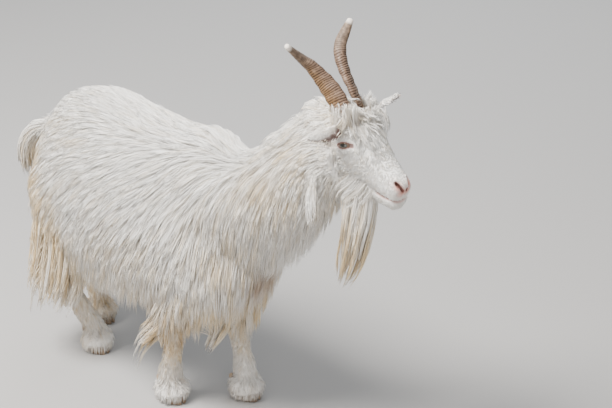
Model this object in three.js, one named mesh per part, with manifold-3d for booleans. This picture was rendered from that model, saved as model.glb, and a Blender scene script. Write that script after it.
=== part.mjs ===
// A long-haired dwarf goat standing still, life-size, in millimetres.
// +X is the way the goat faces, +Y its left side and +Z up; the floor is z = 0.
// The solids give the outer form of the animal, out to the tips of its coat.

import * as THREE from "three";
import { mergeVertices } from "three/addons/utils/BufferGeometryUtils.js";
import Module from "manifold-3d";

const wasm = await Module();
wasm.setup();

// ---- Driving dimensions ----

const SEAM = 0.3; // gap kept between two neighbouring pieces

const WITHERS_HEIGHT = 594; // top of the coat over the shoulder blades
const CROUP_HEIGHT = 602; // top of the coat over the hips, a little higher
const BARREL_HALF_WIDTH = 142;
const BELLY_FRINGE_HEIGHT = 155; // lowest hair of the belly skirt

const HEAD_ORIGIN = [430, 28, 689]; // top of the skull between the horns
const HEAD_YAW = -5; // degrees, turned towards the goat's right
const HEAD_PITCH = 24; // degrees, nose down
const HEAD_ROLL = 8; // degrees, left side up
const HEAD_LENGTH = 184; // top of the skull to the tip of the nose

const EAR_DROOP = { left: -20, right: 75 }; // degrees that each ear flops forwards
const EAR_RAISE = { left: 11, right: 0 }; // how much higher its root sits

const EYE_RADIUS = 14.5;
const EYE_CENTRE = [56, 33, -17]; // left eye in the head's frame

const CLAW_LENGTH = 44;
const CLAW_WIDTH = 20;
const CLAW_HEIGHT = 30;
const CLAW_GAP = 4; // between the two claws of a foot

// Where each foot stands, and the joints above it.
const LEGS = {
  fore_right: { foot: [58, -56], knee: [82, -70, 172], top: [150, -62, 330], splay: -6 },
  fore_left: { foot: [160, 52], knee: [144, 50, 172], top: [170, 60, 330], splay: 6 },
  hind_right: { foot: [-210, -22], hock: [-264, -62, 186], top: [-262, -70, 370], splay: -6 },
  hind_left: { foot: [-304, 74], hock: [-358, 74, 190], top: [-280, 74, 370], splay: 6 },
};

// ---- Solids from lofts ----

const vector = (p) => new THREE.Vector3(...p);
const radians = THREE.MathUtils.degToRad;

// A closed tube of egg-shaped rings along a smooth path. Each station is
// [centre, half width, reach on the upper side, reach on the lower side].
// "upward" says which way the upper side looks, "square" is how boxy the lower
// half is, and each end is closed by a dome as deep as its cap.
function loft(stations, options = {}) {
  const {
    rings = 12,
    sides = 18,
    upward = [0, 0, 1],
    square = 1,
    caps = [10, 10],
    capRings = 3,
    grow = 0,
    shape = (ring) => ring,
  } = options;
  const path = new THREE.CatmullRomCurve3(stations.map((s) => vector(s[0])));
  const sizes = new THREE.CatmullRomCurve3(stations.map((s) => new THREE.Vector3(s[1], s[2], s[3])));
  const positions = [];
  const up = vector(upward);

  const addRing = (t, scale, shift) => {
    const along = path.getTangent(t);
    const side = new THREE.Vector3().crossVectors(up, along).normalize();
    const over = new THREE.Vector3().crossVectors(along, side);
    const centre = path.getPoint(t).addScaledVector(along, shift);
    const size = sizes.getPoint(t);
    for (let i = 0; i < sides; i++) {
      const angle = (2 * Math.PI * i) / sides;
      const c = Math.cos(angle);
      const s = Math.sin(angle);
      const power = s < 0 ? square : 1;
      const ring = shape(
        {
          across: Math.sign(c) * Math.abs(c) ** power * (size.x + grow) * scale,
          over: Math.sign(s) * Math.abs(s) ** power * ((s > 0 ? size.y : size.z) + grow) * scale,
        },
        t,
        angle,
      );
      const point = centre.clone().addScaledVector(side, ring.across).addScaledVector(over, ring.over);
      positions.push(point.x, point.y, point.z);
    }
  };

  const addPole = (t, shift) => {
    const along = path.getTangent(t);
    const point = path.getPoint(t).addScaledVector(along, shift);
    positions.push(point.x, point.y, point.z);
  };

  addPole(0, -caps[0] - grow);
  for (let k = capRings; k > 0; k--) {
    const a = (k / (capRings + 1)) * (Math.PI / 2);
    addRing(0, Math.cos(a), -Math.sin(a) * (caps[0] + grow));
  }
  for (let k = 0; k <= rings; k++) addRing(k / rings, 1, 0);
  for (let k = 1; k <= capRings; k++) {
    const a = (k / (capRings + 1)) * (Math.PI / 2);
    addRing(1, Math.cos(a), Math.sin(a) * (caps[1] + grow));
  }
  addPole(1, caps[1] + grow);

  const ringCount = rings + 1 + 2 * capRings;
  const faces = [];
  const at = (ring, i) => 1 + ring * sides + (i % sides);
  const last = 1 + ringCount * sides;
  for (let i = 0; i < sides; i++) {
    faces.push(0, at(0, i + 1), at(0, i));
    faces.push(last, at(ringCount - 1, i), at(ringCount - 1, i + 1));
    for (let r = 0; r < ringCount - 1; r++) {
      faces.push(at(r, i), at(r, i + 1), at(r + 1, i + 1));
      faces.push(at(r, i), at(r + 1, i + 1), at(r + 1, i));
    }
  }
  const geometry = new THREE.BufferGeometry();
  geometry.setAttribute("position", new THREE.Float32BufferAttribute(positions, 3));
  geometry.setIndex(faces);
  return geometry;
}

// An egg: a sphere stretched along X, Y and Z and set at a place.
function egg(centre, radii, grow = 0, segments = 20) {
  return new THREE.SphereGeometry(1, segments, Math.round(segments * 0.6))
    .rotateX(Math.PI / 2)
    .scale(...radii.map((r) => r + grow))
    .translate(...centre);
}

const mirrored = (geometry) => {
  const copy = geometry.clone().scale(1, -1, 1);
  const index = copy.index.array;
  for (let i = 0; i < index.length; i += 3) [index[i + 1], index[i + 2]] = [index[i + 2], index[i + 1]];
  return copy;
};

// ---- Joining and cutting ----

function solid(geometry) {
  const bare = geometry.clone();
  for (const name of Object.keys(bare.attributes)) if (name !== "position") bare.deleteAttribute(name);
  const merged = mergeVertices(bare, 1e-4);
  return new wasm.Manifold(
    new wasm.Mesh({
      numProp: 3,
      vertProperties: Float32Array.from(merged.attributes.position.array),
      triVerts: Uint32Array.from(merged.index.array),
    }),
  );
}

function geometryOf(made) {
  const mesh = made.getMesh();
  const geometry = new THREE.BufferGeometry();
  geometry.setAttribute("position", new THREE.BufferAttribute(Float32Array.from(mesh.vertProperties), 3));
  geometry.setIndex(new THREE.BufferAttribute(Uint32Array.from(mesh.triVerts), 1));
  const flat = geometry.toNonIndexed();
  flat.computeVertexNormals();
  return flat;
}

const joined = (...geometries) => geometries.map(solid).reduce((a, b) => a.add(b));
const cut = (from, ...tools) => tools.reduce((a, b) => a.subtract(b), from);
// The biggest piece of a cut, without the crumbs beside it.
const main = (made) => made.decompose().reduce((a, b) => (b.volume() > a.volume() ? b : a));

// ---- Head ----

const headFrame = new THREE.Matrix4()
  .makeRotationFromEuler(new THREE.Euler(radians(HEAD_ROLL), radians(HEAD_PITCH), radians(HEAD_YAW), "ZYX"))
  .setPosition(...HEAD_ORIGIN);

const L = HEAD_LENGTH;

// Skull, nose bridge and upper lip, from the back of the head to the nose.
const skull = (grow) =>
  loft(
    [
      [[-30, 0, -36], 40, 46, 46],
      [[0, 0, -34], 46, 50, 52],
      [[0.2 * L, 0, -32], 47, 52, 58],
      [[0.36 * L, 0, -34], 45, 51, 56],
      [[0.53 * L, 0, -37], 39, 43, 47],
      [[0.7 * L, 0, -39], 30, 35, 36],
      [[0.84 * L, 0, -41], 26, 31, 31],
      [[0.94 * L, 0, -43], 22, 27, 27],
    ],
    { rings: 12, sides: 18, caps: [22, 9], capRings: 2, grow },
  );

// Lower jaw, from its angle under the ear to the chin.
const jaw = (grow) =>
  loft(
    [
      [[0.06 * L, 0, -72], 38, 34, 30],
      [[0.28 * L, 0, -80], 39, 38, 29],
      [[0.5 * L, 0, -78], 33, 34, 22],
      [[0.72 * L, 0, -72], 26, 30, 16],
      [[0.94 * L, 0, -66], 20, 20, 14],
    ],
    { rings: 8, sides: 12, caps: [16, 10], capRings: 2, grow },
  );

// Fluff over the brow between the horns, on the cheeks and above each eye.
const FORELOCK_SLOPE = 18; // degrees, following the forehead down
const forelock = (grow) =>
  egg([0, 0, 0], [50, 56, 28], grow, 14)
    .rotateY(radians(FORELOCK_SLOPE))
    .translate(36, 11, 11);
const cheek = (grow) => egg([40, 23, -60], [48, 25, 34], grow, 12);
const brow = (grow) => egg([57, 31, 3], [26, 14, 10], grow, 12);

const headForm = (grow) =>
  joined(
    skull(grow),
    jaw(grow),
    forelock(grow),
    cheek(grow),
    mirrored(cheek(grow)),
    brow(grow),
    mirrored(brow(grow)),
  );

const eye = (grow) => egg(EYE_CENTRE, [EYE_RADIUS, EYE_RADIUS, EYE_RADIUS], grow, 14);

// The slit of the mouth, closed, from one corner round the front to the other.
function mouthSlit() {
  const corner = 0.76 * L;
  const front = 1.12 * L;
  return loft(
    [
      [[corner, 0, -65], 40, 0.7, 0.7],
      [[0.88 * L, 0, -63], 40, 0.7, 0.7],
      [[front, 0, -59], 40, 0.7, 0.7],
    ],
    { rings: 6, sides: 8, caps: [1, 1], capRings: 1 },
  );
}

// A comma-shaped nostril, slanting up and back.
const nostril = () =>
  new THREE.SphereGeometry(1, 10, 6)
    .scale(9, 4.5, 3.2)
    .rotateZ(radians(-24))
    .rotateY(radians(38))
    .translate(0.95 * L, 11.5, -22.5);

// Horns rise behind the brow, sweep back and turn outwards at their tips.
// Each is a flat blade at its root, its keel turned in and up, and nearly round
// at its tip.
const hornPath = [
  [[38, 18, -4], 6.5, 20, 20],
  [[19, 18.5, 20], 6.5, 20.5, 20.5],
  [[-4, 19.5, 38], 6.5, 21, 21],
  [[-28, 22, 50], 8, 18.5, 18.5],
  [[-48, 26.5, 59], 10, 14.2, 14.2],
  [[-66, 33, 69], 11.2, 11.2, 11.2],
  [[-80, 43.5, 78], 11, 8.5, 8.5],
  [[-88, 57, 92], 9.5, 6.5, 6.5],
  [[-95, 71, 107], 6, 4.8, 4.8],
];

const horn = (grow) =>
  loft(hornPath, {
    rings: 20,
    sides: 12,
    upward: [0.18, -0.71, 0.68],
    caps: [3, 4],
    capRings: 2,
    grow,
  });

// An ear stands out sideways: a broad leaf, rolled round a hollow that opens
// forwards and down, and turned over more and more towards its tip.
const EAR_ROLL_RADIUS = 24;
const EAR_THICKNESS = 5;

function ear(side, grow) {
  const root = 30;
  const length = 76;
  const shares = [0, 0.2, 0.45, 0.7, 0.88, 1];
  const halfWidths = [17, 23, 26, 22, 14, 6];
  const leaf = shares.map((share, i) => [
    [36 - 5 * share, root + length * share, 4 + EAR_RAISE[side] * (1 - share) + 8 * Math.sin(2.2 * share)],
    halfWidths[i],
    (EAR_THICKNESS / 2) * (1 - 0.35 * share),
    (EAR_THICKNESS / 2) * (1 - 0.35 * share),
  ]);
  return loft(leaf, {
    rings: 10,
    sides: 16,
    upward: [-0.75, 0, 1],
    caps: [3, 3],
    capRings: 1,
    grow,
    shape: ({ across, over }, t) => {
      const bend = across / EAR_ROLL_RADIUS;
      const x = (EAR_ROLL_RADIUS + over) * Math.sin(bend);
      const z = (EAR_ROLL_RADIUS + over) * Math.cos(bend) - 0.75 * EAR_ROLL_RADIUS;
      const twist = radians(EAR_DROOP[side]) * Math.sqrt(t);
      return {
        across: x * Math.cos(twist) - z * Math.sin(twist),
        over: x * Math.sin(twist) + z * Math.cos(twist),
      };
    },
  });
}

// The beard hangs from under the jaw and widens a little at its ends.
function beard() {
  return loft(
    [
      [[486, 14, 560], 26, 32, 38],
      [[484, 14, 520], 27, 34, 36],
      [[478, 14, 470], 25, 30, 31],
      [[470, 14, 425], 22, 26, 30],
      [[460, 14, 392], 15, 22, 28],
    ],
    { rings: 8, sides: 14, upward: [1, 0, 0], caps: [6, 14], capRings: 2 },
  );
}

// ---- Neck and trunk ----

const neck = (grow) =>
  loft(
    [
      [[150, 0, 440], 104, 96, 120],
      [[250, 2, 487], 90, 82, 124],
      [[338, 12, 556], 68, 84, 106],
      [[400, 22, 618], 54, 86, 84],
      [[428, 26, 652], 46, 68, 60],
    ],
    { rings: 9, sides: 18, caps: [20, 12], capRings: 2, grow },
  );

// The barrel, narrow along the spine and squarer below, where its hair hangs.
const trunk = (grow) => {
  const station = (x, top, bottom, halfWidth, centreHeight = 385) => [
    [x, 0, centreHeight],
    halfWidth,
    top - centreHeight,
    centreHeight - bottom,
  ];
  const ridge = 0.14; // how much narrower the top of the back is
  return loft(
    [
      station(-350, 494, 325, 46, 420),
      station(-318, 548, 250, 82, 412),
      station(-250, 592, 184, 116, 400),
      station(-165, CROUP_HEIGHT, BELLY_FRINGE_HEIGHT - 2, 134),
      station(-50, 585, BELLY_FRINGE_HEIGHT, BARREL_HALF_WIDTH),
      station(60, 576, BELLY_FRINGE_HEIGHT + 12, BARREL_HALF_WIDTH - 2),
      station(150, WITHERS_HEIGHT, BELLY_FRINGE_HEIGHT + 22, 122),
      station(218, 570, 236, 98, 395),
      station(258, 520, 302, 68, 400),
    ],
    {
      rings: 18,
      sides: 22,
      square: 0.7,
      caps: [24, 22],
      grow,
      shape: ({ across, over }, t, angle) => ({ across: across * (1 - ridge * Math.max(0, Math.sin(angle))), over }),
    },
  );
};

// The tail stands out from the rump and its hair hangs down.
const tail = () =>
  loft(
    [
      [[-342, 0, 468], 24, 16, 20],
      [[-384, 0, 450], 28, 16, 22],
      [[-414, 0, 416], 30, 16, 24],
      [[-424, 0, 374], 28, 14, 26],
      [[-414, 0, 336], 18, 10, 20],
    ],
    { rings: 9, sides: 14, upward: [-0.4, 0, 1], caps: [6, 14], capRings: 2 },
  );

// A finger of hairy skin that hangs from each side of the throat.
const wattle = () =>
  loft(
    [
      [[422, -42, 562], 8, 8, 8],
      [[430, -50, 532], 9, 9, 9],
      [[434, -53, 510], 12, 12, 12],
    ],
    { rings: 5, sides: 10, upward: [1, 0, 0], caps: [3, 12], capRings: 2 },
  );

// ---- Legs ----

// The upper foreleg down to the knee, with the long hair behind it.
function upperForeleg({ knee, top }, side, grow) {
  const elbow = [knee[0] + 0.55 * (top[0] - knee[0]), (knee[1] + top[1]) / 2 + side * 2, 262];
  return loft(
    [
      [top, 42, 50, 60],
      [elbow, 38, 42, 54],
      [[knee[0] + 6, knee[1], 205], 31, 32, 46],
      [[knee[0], knee[1], knee[2] - 14], 22, 25, 30],
    ],
    { rings: 7, sides: 14, upward: [1, 0, 0], caps: [10, 12], capRings: 2, grow },
  );
}

// The lock of long hair that trails back from the forearm.
function elbowLock({ knee }, side, grow) {
  const [x, y] = knee;
  return loft(
    [
      [[x + 22, y + side * 2, 222], 20, 24, 24],
      [[x - 26, y + side * 18, 180], 18, 26, 22],
      [[x - 70, y + side * 20, 134], 12, 24, 18],
      [[x - 102, y + side * 18, 78], 7, 20, 12],
    ],
    { rings: 6, sides: 12, upward: [1, 0, 0.6], caps: [6, 10], capRings: 2, grow },
  );
}

// The knee, cannon, fetlock and the hair that flares over the foot.
function lowerForeleg({ knee, foot }) {
  const [x, y] = foot;
  return loft(
    [
      [[knee[0], knee[1], knee[2] + 6], 20, 24, 24],
      [[knee[0], knee[1], 140], 20, 21, 23],
      [[(knee[0] + x) / 2, (knee[1] + y) / 2, 100], 19, 19, 23],
      [[x - 1, y, 66], 24, 22, 32],
      [[x, y, 38], 32, 31, 40],
      [[x + 2, y, 18], 37, 38, 43],
    ],
    { rings: 8, sides: 14, upward: [1, 0, 0], caps: [8, 8], capRings: 2 },
  );
}

// The thigh with its long hair, down past the hock.
function upperHindleg({ hock, top }, side, grow) {
  return loft(
    [
      [top, 50, 62, 64],
      [[hock[0] + 12, top[1] + side * 10, 300], 48, 56, 46],
      [[hock[0] + 2, top[1] + side * 12, 220], 52, 58, 42],
      [[hock[0] - 18, top[1] + side * 14, 126], 46, 54, 48],
    ],
    { rings: 8, sides: 14, upward: [1, 0, 0], caps: [12, 30], capRings: 2, grow },
  );
}

function lowerHindleg({ hock, foot }) {
  const [x, y] = foot;
  const between = (share) => [hock[0] + share * (x - hock[0]), hock[1] + share * (y - hock[1])];
  return loft(
    [
      [[hock[0] + 4, hock[1], 176], 22, 26, 28],
      [[...between(0.3), 130], 20, 21, 24],
      [[...between(0.66), 88], 20, 20, 24],
      [[x - 6, y, 56], 25, 24, 30],
      [[x, y, 34], 31, 30, 35],
      [[x + 3, y, 18], 34, 35, 36],
    ],
    { rings: 8, sides: 14, upward: [1, 0, 0], caps: [8, 8], capRings: 2 },
  );
}

// One claw of the cloven foot: flat sole, pointed toe, leaning back as it rises.
// Its flat inner side lies along y = 0 and it reaches towards +Y.
function claw(grow) {
  const outline = new THREE.Shape();
  const heel = -0.42 * CLAW_LENGTH - grow;
  const toe = 0.58 * CLAW_LENGTH + grow;
  outline.moveTo(heel, -grow);
  outline.lineTo(toe, -grow);
  outline.bezierCurveTo(toe, 0.45 * CLAW_WIDTH, 8, CLAW_WIDTH + grow, -4, CLAW_WIDTH + grow);
  outline.bezierCurveTo(heel, CLAW_WIDTH + grow, heel, 0.5 * CLAW_WIDTH, heel, -grow);
  const geometry = new THREE.ExtrudeGeometry(outline, {
    depth: CLAW_HEIGHT + grow,
    steps: 2,
    curveSegments: 5,
    bevelEnabled: false,
  });
  const place = geometry.attributes.position;
  for (let i = 0; i < place.count; i++) {
    const rise = place.getZ(i) / CLAW_HEIGHT;
    const shrink = 1 - 0.22 * rise;
    place.setXYZ(i, place.getX(i) * shrink - 9 * rise, place.getY(i) * shrink, place.getZ(i));
  }
  return geometry;
}

// The small claw behind the fetlock.
const dewclaw = (grow) => egg([0, 0, 0], [6, 5, 8], grow, 8);

// The four horny parts of a foot, each with its name, shape and matrix.
function hooves(legName, { foot, splay }) {
  const turn = new THREE.Matrix4().makeRotationZ(radians(splay));
  const parts = [];
  for (const [sideName, sign] of [["outer", Math.sign(foot[1])], ["inner", -Math.sign(foot[1])]]) {
    const shapeClaw = (grow) => (sign > 0 ? claw(grow) : mirroredExtrusion(claw(grow)));
    parts.push({
      name: `claw_${legName}_${sideName}`,
      shape: shapeClaw,
      matrix: new THREE.Matrix4()
        .makeTranslation(foot[0] + 8, foot[1], 0)
        .multiply(turn)
        .multiply(new THREE.Matrix4().makeTranslation(0, (sign * CLAW_GAP) / 2, 0)),
    });
    parts.push({
      name: `dewclaw_${legName}_${sideName}`,
      shape: dewclaw,
      matrix: new THREE.Matrix4()
        .makeTranslation(foot[0], foot[1], 0)
        .multiply(turn)
        .multiply(new THREE.Matrix4().makeTranslation(-29, sign * 12, 42)),
    });
  }
  return parts;
}

function mirroredExtrusion(geometry) {
  const flat = geometry.scale(1, -1, 1);
  const place = flat.attributes.position;
  for (let i = 0; i < place.count; i += 3) {
    const [x, y, z] = [place.getX(i + 1), place.getY(i + 1), place.getZ(i + 1)];
    place.setXYZ(i + 1, place.getX(i + 2), place.getY(i + 2), place.getZ(i + 2));
    place.setXYZ(i + 2, x, y, z);
  }
  return flat;
}

// ---- Materials ----

const finish = (color, roughness) => new THREE.MeshStandardMaterial({ color, roughness, metalness: 0 });
const coatWhite = finish(0xece7dc, 0.85);
const coatCream = finish(0xdccdb0, 0.85);
const hornBrown = finish(0x8c7255, 0.6);
const clawGrey = finish(0x6a5a4a, 0.55);
const eyeAmber = finish(0x9a7440, 0.15);

// ---- Assembly ----

const goat = new THREE.Group();

function addNode(group, name, made, material) {
  const mesh = new THREE.Mesh(geometryOf(made), material);
  mesh.name = name;
  group.add(mesh);
  return mesh;
}

const headGroup = new THREE.Group();
headGroup.applyMatrix4(headFrame);
goat.add(headGroup);

const headCut = cut(
  headForm(0),
  solid(eye(SEAM)),
  solid(mirrored(eye(SEAM))),
  solid(horn(SEAM)),
  solid(mirrored(horn(SEAM))),
  solid(mouthSlit()),
  solid(nostril()),
  solid(mirrored(nostril())),
);
addNode(headGroup, "head", main(headCut), coatWhite);
for (const [side, place] of [["left", (g) => g], ["right", mirrored]]) {
  addNode(headGroup, `eye_${side}`, solid(place(eye(0))), eyeAmber);
  addNode(headGroup, `horn_${side}`, solid(place(horn(0))), hornBrown);
  const freeEar = cut(solid(place(ear(side, 0))), headForm(SEAM), solid(place(horn(SEAM))));
  addNode(headGroup, `ear_${side}`, main(freeEar), coatWhite);
}

const headGrown = solid(geometryOf(headForm(SEAM)).applyMatrix4(headFrame));
const trunkGrown = solid(trunk(SEAM));
const neckGrown = solid(neck(SEAM));

addNode(goat, "trunk", solid(trunk(0)), coatWhite);
addNode(goat, "neck", main(cut(solid(neck(0)), trunkGrown, headGrown)), coatWhite);
addNode(goat, "tail", main(cut(solid(tail()), trunkGrown)), coatWhite);
addNode(goat, "beard", main(cut(solid(beard()), headGrown, neckGrown)), coatCream);
for (const [side, place] of [["right", (g) => g], ["left", mirrored]]) {
  addNode(goat, `wattle_${side}`, main(cut(solid(place(wattle())), neckGrown, headGrown)), coatWhite);
}

for (const [name, leg] of Object.entries(LEGS)) {
  const side = Math.sign(leg.foot[1]);
  const fore = name.startsWith("fore");
  const upper = (grow) =>
    fore
      ? joined(upperForeleg(leg, side, grow), elbowLock(leg, side, grow))
      : solid(upperHindleg(leg, side, grow));
  const lower = fore ? lowerForeleg(leg) : lowerHindleg(leg);
  const horny = hooves(name, leg);
  const sockets = horny.map((h) => solid(h.shape(SEAM).applyMatrix4(h.matrix)));

  addNode(goat, `upper_leg_${name}`, main(cut(upper(0), trunkGrown, neckGrown)), coatCream);
  addNode(goat, `lower_leg_${name}`, main(cut(solid(lower), upper(SEAM), ...sockets)), coatWhite);
  for (const h of horny) {
    const mesh = addNode(goat, h.name, solid(h.shape(0)), clawGrey);
    mesh.applyMatrix4(h.matrix);
  }
}

// The origin is on the floor, under the middle of the whole goat.
const bounds = new THREE.Box3().setFromObject(goat, true);
const middle = bounds.getCenter(new THREE.Vector3());
goat.position.set(-middle.x, -middle.y, -bounds.min.z);

export default goat;
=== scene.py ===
# A long-haired dwarf goat standing still: one skin, a coat of fine locks over it,
# ridged horns, eyes with their lids, and worn claws. Sizes are in millimetres
# unless a name says otherwise; the goat faces +X, its left side is +Y.

import math

import bpy
import numpy as np
from mathutils import Euler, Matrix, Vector
from mathutils.bvhtree import BVHTree
from mathutils.kdtree import KDTree


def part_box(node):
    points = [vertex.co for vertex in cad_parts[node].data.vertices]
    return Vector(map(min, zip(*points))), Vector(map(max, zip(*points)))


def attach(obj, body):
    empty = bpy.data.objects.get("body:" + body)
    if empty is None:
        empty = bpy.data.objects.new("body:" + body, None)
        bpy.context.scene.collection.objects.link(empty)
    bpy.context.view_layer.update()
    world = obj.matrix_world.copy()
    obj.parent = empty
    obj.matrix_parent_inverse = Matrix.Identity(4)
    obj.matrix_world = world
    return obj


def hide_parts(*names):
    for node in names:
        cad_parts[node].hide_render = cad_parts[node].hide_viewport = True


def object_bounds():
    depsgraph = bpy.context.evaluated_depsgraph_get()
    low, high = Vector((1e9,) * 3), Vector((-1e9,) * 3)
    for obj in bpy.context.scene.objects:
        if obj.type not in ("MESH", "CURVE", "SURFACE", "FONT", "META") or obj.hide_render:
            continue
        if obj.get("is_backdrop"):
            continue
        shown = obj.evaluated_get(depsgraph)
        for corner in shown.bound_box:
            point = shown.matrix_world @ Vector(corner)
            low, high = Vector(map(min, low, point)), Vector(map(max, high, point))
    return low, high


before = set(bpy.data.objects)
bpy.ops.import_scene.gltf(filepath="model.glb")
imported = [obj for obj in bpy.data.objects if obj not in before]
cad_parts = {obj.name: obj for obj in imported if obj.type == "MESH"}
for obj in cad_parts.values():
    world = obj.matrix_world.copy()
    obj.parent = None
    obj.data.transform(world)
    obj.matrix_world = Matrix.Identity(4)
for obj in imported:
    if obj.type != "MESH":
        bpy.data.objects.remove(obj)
cad_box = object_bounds()
dice = np.random.default_rng(7)

# ---- Places of the body, as the solids have them ----

MM = 0.001
HEAD_TURN = np.array(Euler((math.radians(8), math.radians(24), math.radians(-5))).to_matrix())
EYE_PLACE = np.array([56.0, 33.0, -17.0])  # left eye in the head's frame
EYE_RADIUS = 14.5
HEAD_PLACE = np.array([430.0, 28.0, 689.0])  # top of the skull between the horns

LEGS = {
    "fore_right": {"foot": (58, -56), "joint": (82, -70, 172), "top": (150, -62, 330)},
    "fore_left": {"foot": (160, 52), "joint": (144, 50, 172), "top": (170, 60, 330)},
    "hind_right": {"foot": (-210, -22), "joint": (-264, -62, 186), "top": (-262, -70, 370)},
    "hind_left": {"foot": (-304, 74), "joint": (-358, 74, 190), "top": (-280, 74, 370)},
}

UP = np.array([0.0, 0.0, 1.0])


def middle(node):
    low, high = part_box(node)
    return np.array((low + high) / 2)


between_eyes = (middle("eye_left") + middle("eye_right")) / 2
head_zero = between_eyes - HEAD_TURN @ (EYE_PLACE * (1, 0, 1)) * MM
body_zero = head_zero - HEAD_PLACE * MM


def on_body(points):
    """Points of the body's own frame, in mm, as places in metres."""
    return np.asarray(points, float) * MM + body_zero


def on_head(points):
    return np.asarray(points, float) @ HEAD_TURN.T * MM + head_zero


def from_head(places):
    return (np.asarray(places) - head_zero) @ HEAD_TURN / MM


def from_body(places):
    return (np.asarray(places) - body_zero) / MM


def mirrored(place):
    """Places of either side as places of the left one."""
    return place * (1, 0, 1) + (0, 1, 0) * abs(place[:, [1]])


# ---- Numbers ----


def unit(vectors):
    length = np.linalg.norm(vectors, axis=-1, keepdims=True)
    return vectors / np.maximum(length, 1e-9)


def dot(a, b):
    return (a * b).sum(-1, keepdims=True)


def ramp(value, start, end):
    """Rises smoothly from 0 at start to 1 at end."""
    t = np.clip((value - start) / (end - start), 0, 1)
    return t * t * (3 - 2 * t)


def spline(stations, count):
    """count rows on a smooth run through the stations' rows."""
    s = np.asarray(stations, float)
    padded = np.vstack([2 * s[0] - s[1], s, 2 * s[-1] - s[-2]])
    t = np.linspace(0, len(s) - 1, count)
    k = np.minimum(t.astype(int), len(s) - 2)
    f = (t - k)[:, None]
    a, b, c, d = padded[k], padded[k + 1], padded[k + 2], padded[k + 3]
    return b + 0.5 * f * (c - a + f * (2 * a - 5 * b + 4 * c - d + f * (3 * (b - c) + d - a)))


def blobs(points, table):
    """Soft egg-shaped spots: the strongest of the table's (centre, radii, strength)."""
    value = np.zeros(len(points))
    for centre, radii, strength in table:
        away = ((points - centre) / radii) ** 2
        value = np.maximum(value, strength * np.exp(-away.sum(1)))
    return value


# ---- Meshes ----


def numbers(collection, name, width, kind=np.float32):
    found = np.empty(len(collection) * width, kind)
    collection.foreach_get(name, found)
    return found.reshape(-1, width) if width > 1 else found


def mesh_object(name, points, faces):
    """An object of faces with the same number of corners."""
    mesh = bpy.data.meshes.new(name)
    corners = faces.shape[1]
    mesh.vertices.add(len(points))
    mesh.vertices.foreach_set("co", np.asarray(points, np.float32).ravel())
    mesh.loops.add(faces.size)
    mesh.loops.foreach_set("vertex_index", faces.astype(np.int32).ravel())
    mesh.polygons.add(len(faces))
    mesh.polygons.foreach_set("loop_start", np.arange(0, faces.size, corners, dtype=np.int32))
    mesh.polygons.foreach_set("use_smooth", np.ones(len(faces), bool))
    mesh.update(calc_edges=True)
    obj = bpy.data.objects.new(name, mesh)
    bpy.context.scene.collection.objects.link(obj)
    return obj


def pick(obj):
    bpy.ops.object.select_all(action="DESELECT")
    obj.select_set(True)
    bpy.context.view_layer.objects.active = obj


def with_modifier(obj, kind, **settings):
    modifier = obj.modifiers.new(kind.lower(), kind)
    for name, value in settings.items():
        setattr(modifier, name, value)
    pick(obj)
    bpy.ops.object.modifier_apply(modifier=modifier.name)


def triangles_of(faces):
    if faces.shape[1] == 3:
        return faces
    return np.vstack([faces[:, [0, 1, 2]], faces[:, [0, 2, 3]]])


def stacked(parts):
    """Several (points, faces) as one, in triangles."""
    parts = [(points, triangles_of(faces)) for points, faces in parts]
    starts = np.cumsum([0] + [len(points) for points, _ in parts])
    points = np.vstack([points for points, _ in parts])
    faces = np.vstack([faces + start for (_, faces), start in zip(parts, starts)])
    return points, faces


def fused(parts, voxel):
    """One closed mesh of square faces round several closed ones that overlap."""
    obj = mesh_object("fused", *stacked(parts))
    with_modifier(obj, "REMESH", mode="VOXEL", voxel_size=voxel * MM)
    points = numbers(obj.data.vertices, "co", 3).astype(float)
    faces = numbers(obj.data.loops, "vertex_index", 1, np.int32).reshape(-1, 4)
    bpy.data.objects.remove(obj)
    return points, faces


def relaxed(values, faces, rounds, share=0.5):
    """Each point moves a share of the way to the middle of its neighbours."""
    around = np.roll(faces, 1, axis=1)
    start = np.concatenate([faces.ravel(), around.ravel()])
    end = np.concatenate([around.ravel(), faces.ravel()])
    size = len(values)
    count = np.bincount(start, minlength=size)[:, None]
    values = values.reshape(size, -1)
    for _ in range(rounds):
        total = np.stack([np.bincount(start, c[end], size) for c in values.T], axis=1)
        values = values + share * (total / count - values)
    return values


def tree_of(points, faces):
    """Finds the nearest place on a surface."""
    return BVHTree.FromPolygons(points.tolist(), triangles_of(faces).tolist())


def nearest(tree, places):
    """The nearest points of a surface to places, and the outward directions there."""
    found = [tree.find_nearest(place)[:2] for place in places.tolist()]
    found = np.array(found).reshape(-1, 2, 3)
    return found[:, 0], found[:, 1]


def point_tree(places):
    """Finds the nearest of many points."""
    tree = KDTree(len(places))
    for index, place in enumerate(places):
        tree.insert(place, index)
    tree.balance()
    return tree


def nearest_point(tree, places):
    """The number of the nearest point to each place."""
    return np.array([tree.find(place)[1] for place in places])


def outward(points, faces):
    """The outward direction at each point of a mesh."""
    corner = points[faces]
    if faces.shape[1] == 4:
        tilt = np.cross(corner[:, 2] - corner[:, 0], corner[:, 3] - corner[:, 1])
    else:
        tilt = np.cross(corner[:, 1] - corner[:, 0], corner[:, 2] - corner[:, 0])
    total = np.zeros_like(points)
    for k in range(faces.shape[1]):
        for axis in range(3):
            total[:, axis] += np.bincount(faces[:, k], tilt[:, axis], len(points))
    return unit(total)


def drawn_in(points, faces, depth, rounds, soft=0.5):
    """A surface moved inwards by a depth that changes over it, in small steps."""
    for _ in range(rounds):
        points = points - outward(points, faces) * depth * (MM / rounds)
        points = relaxed(points, faces, 1, soft)
    return points


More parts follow.
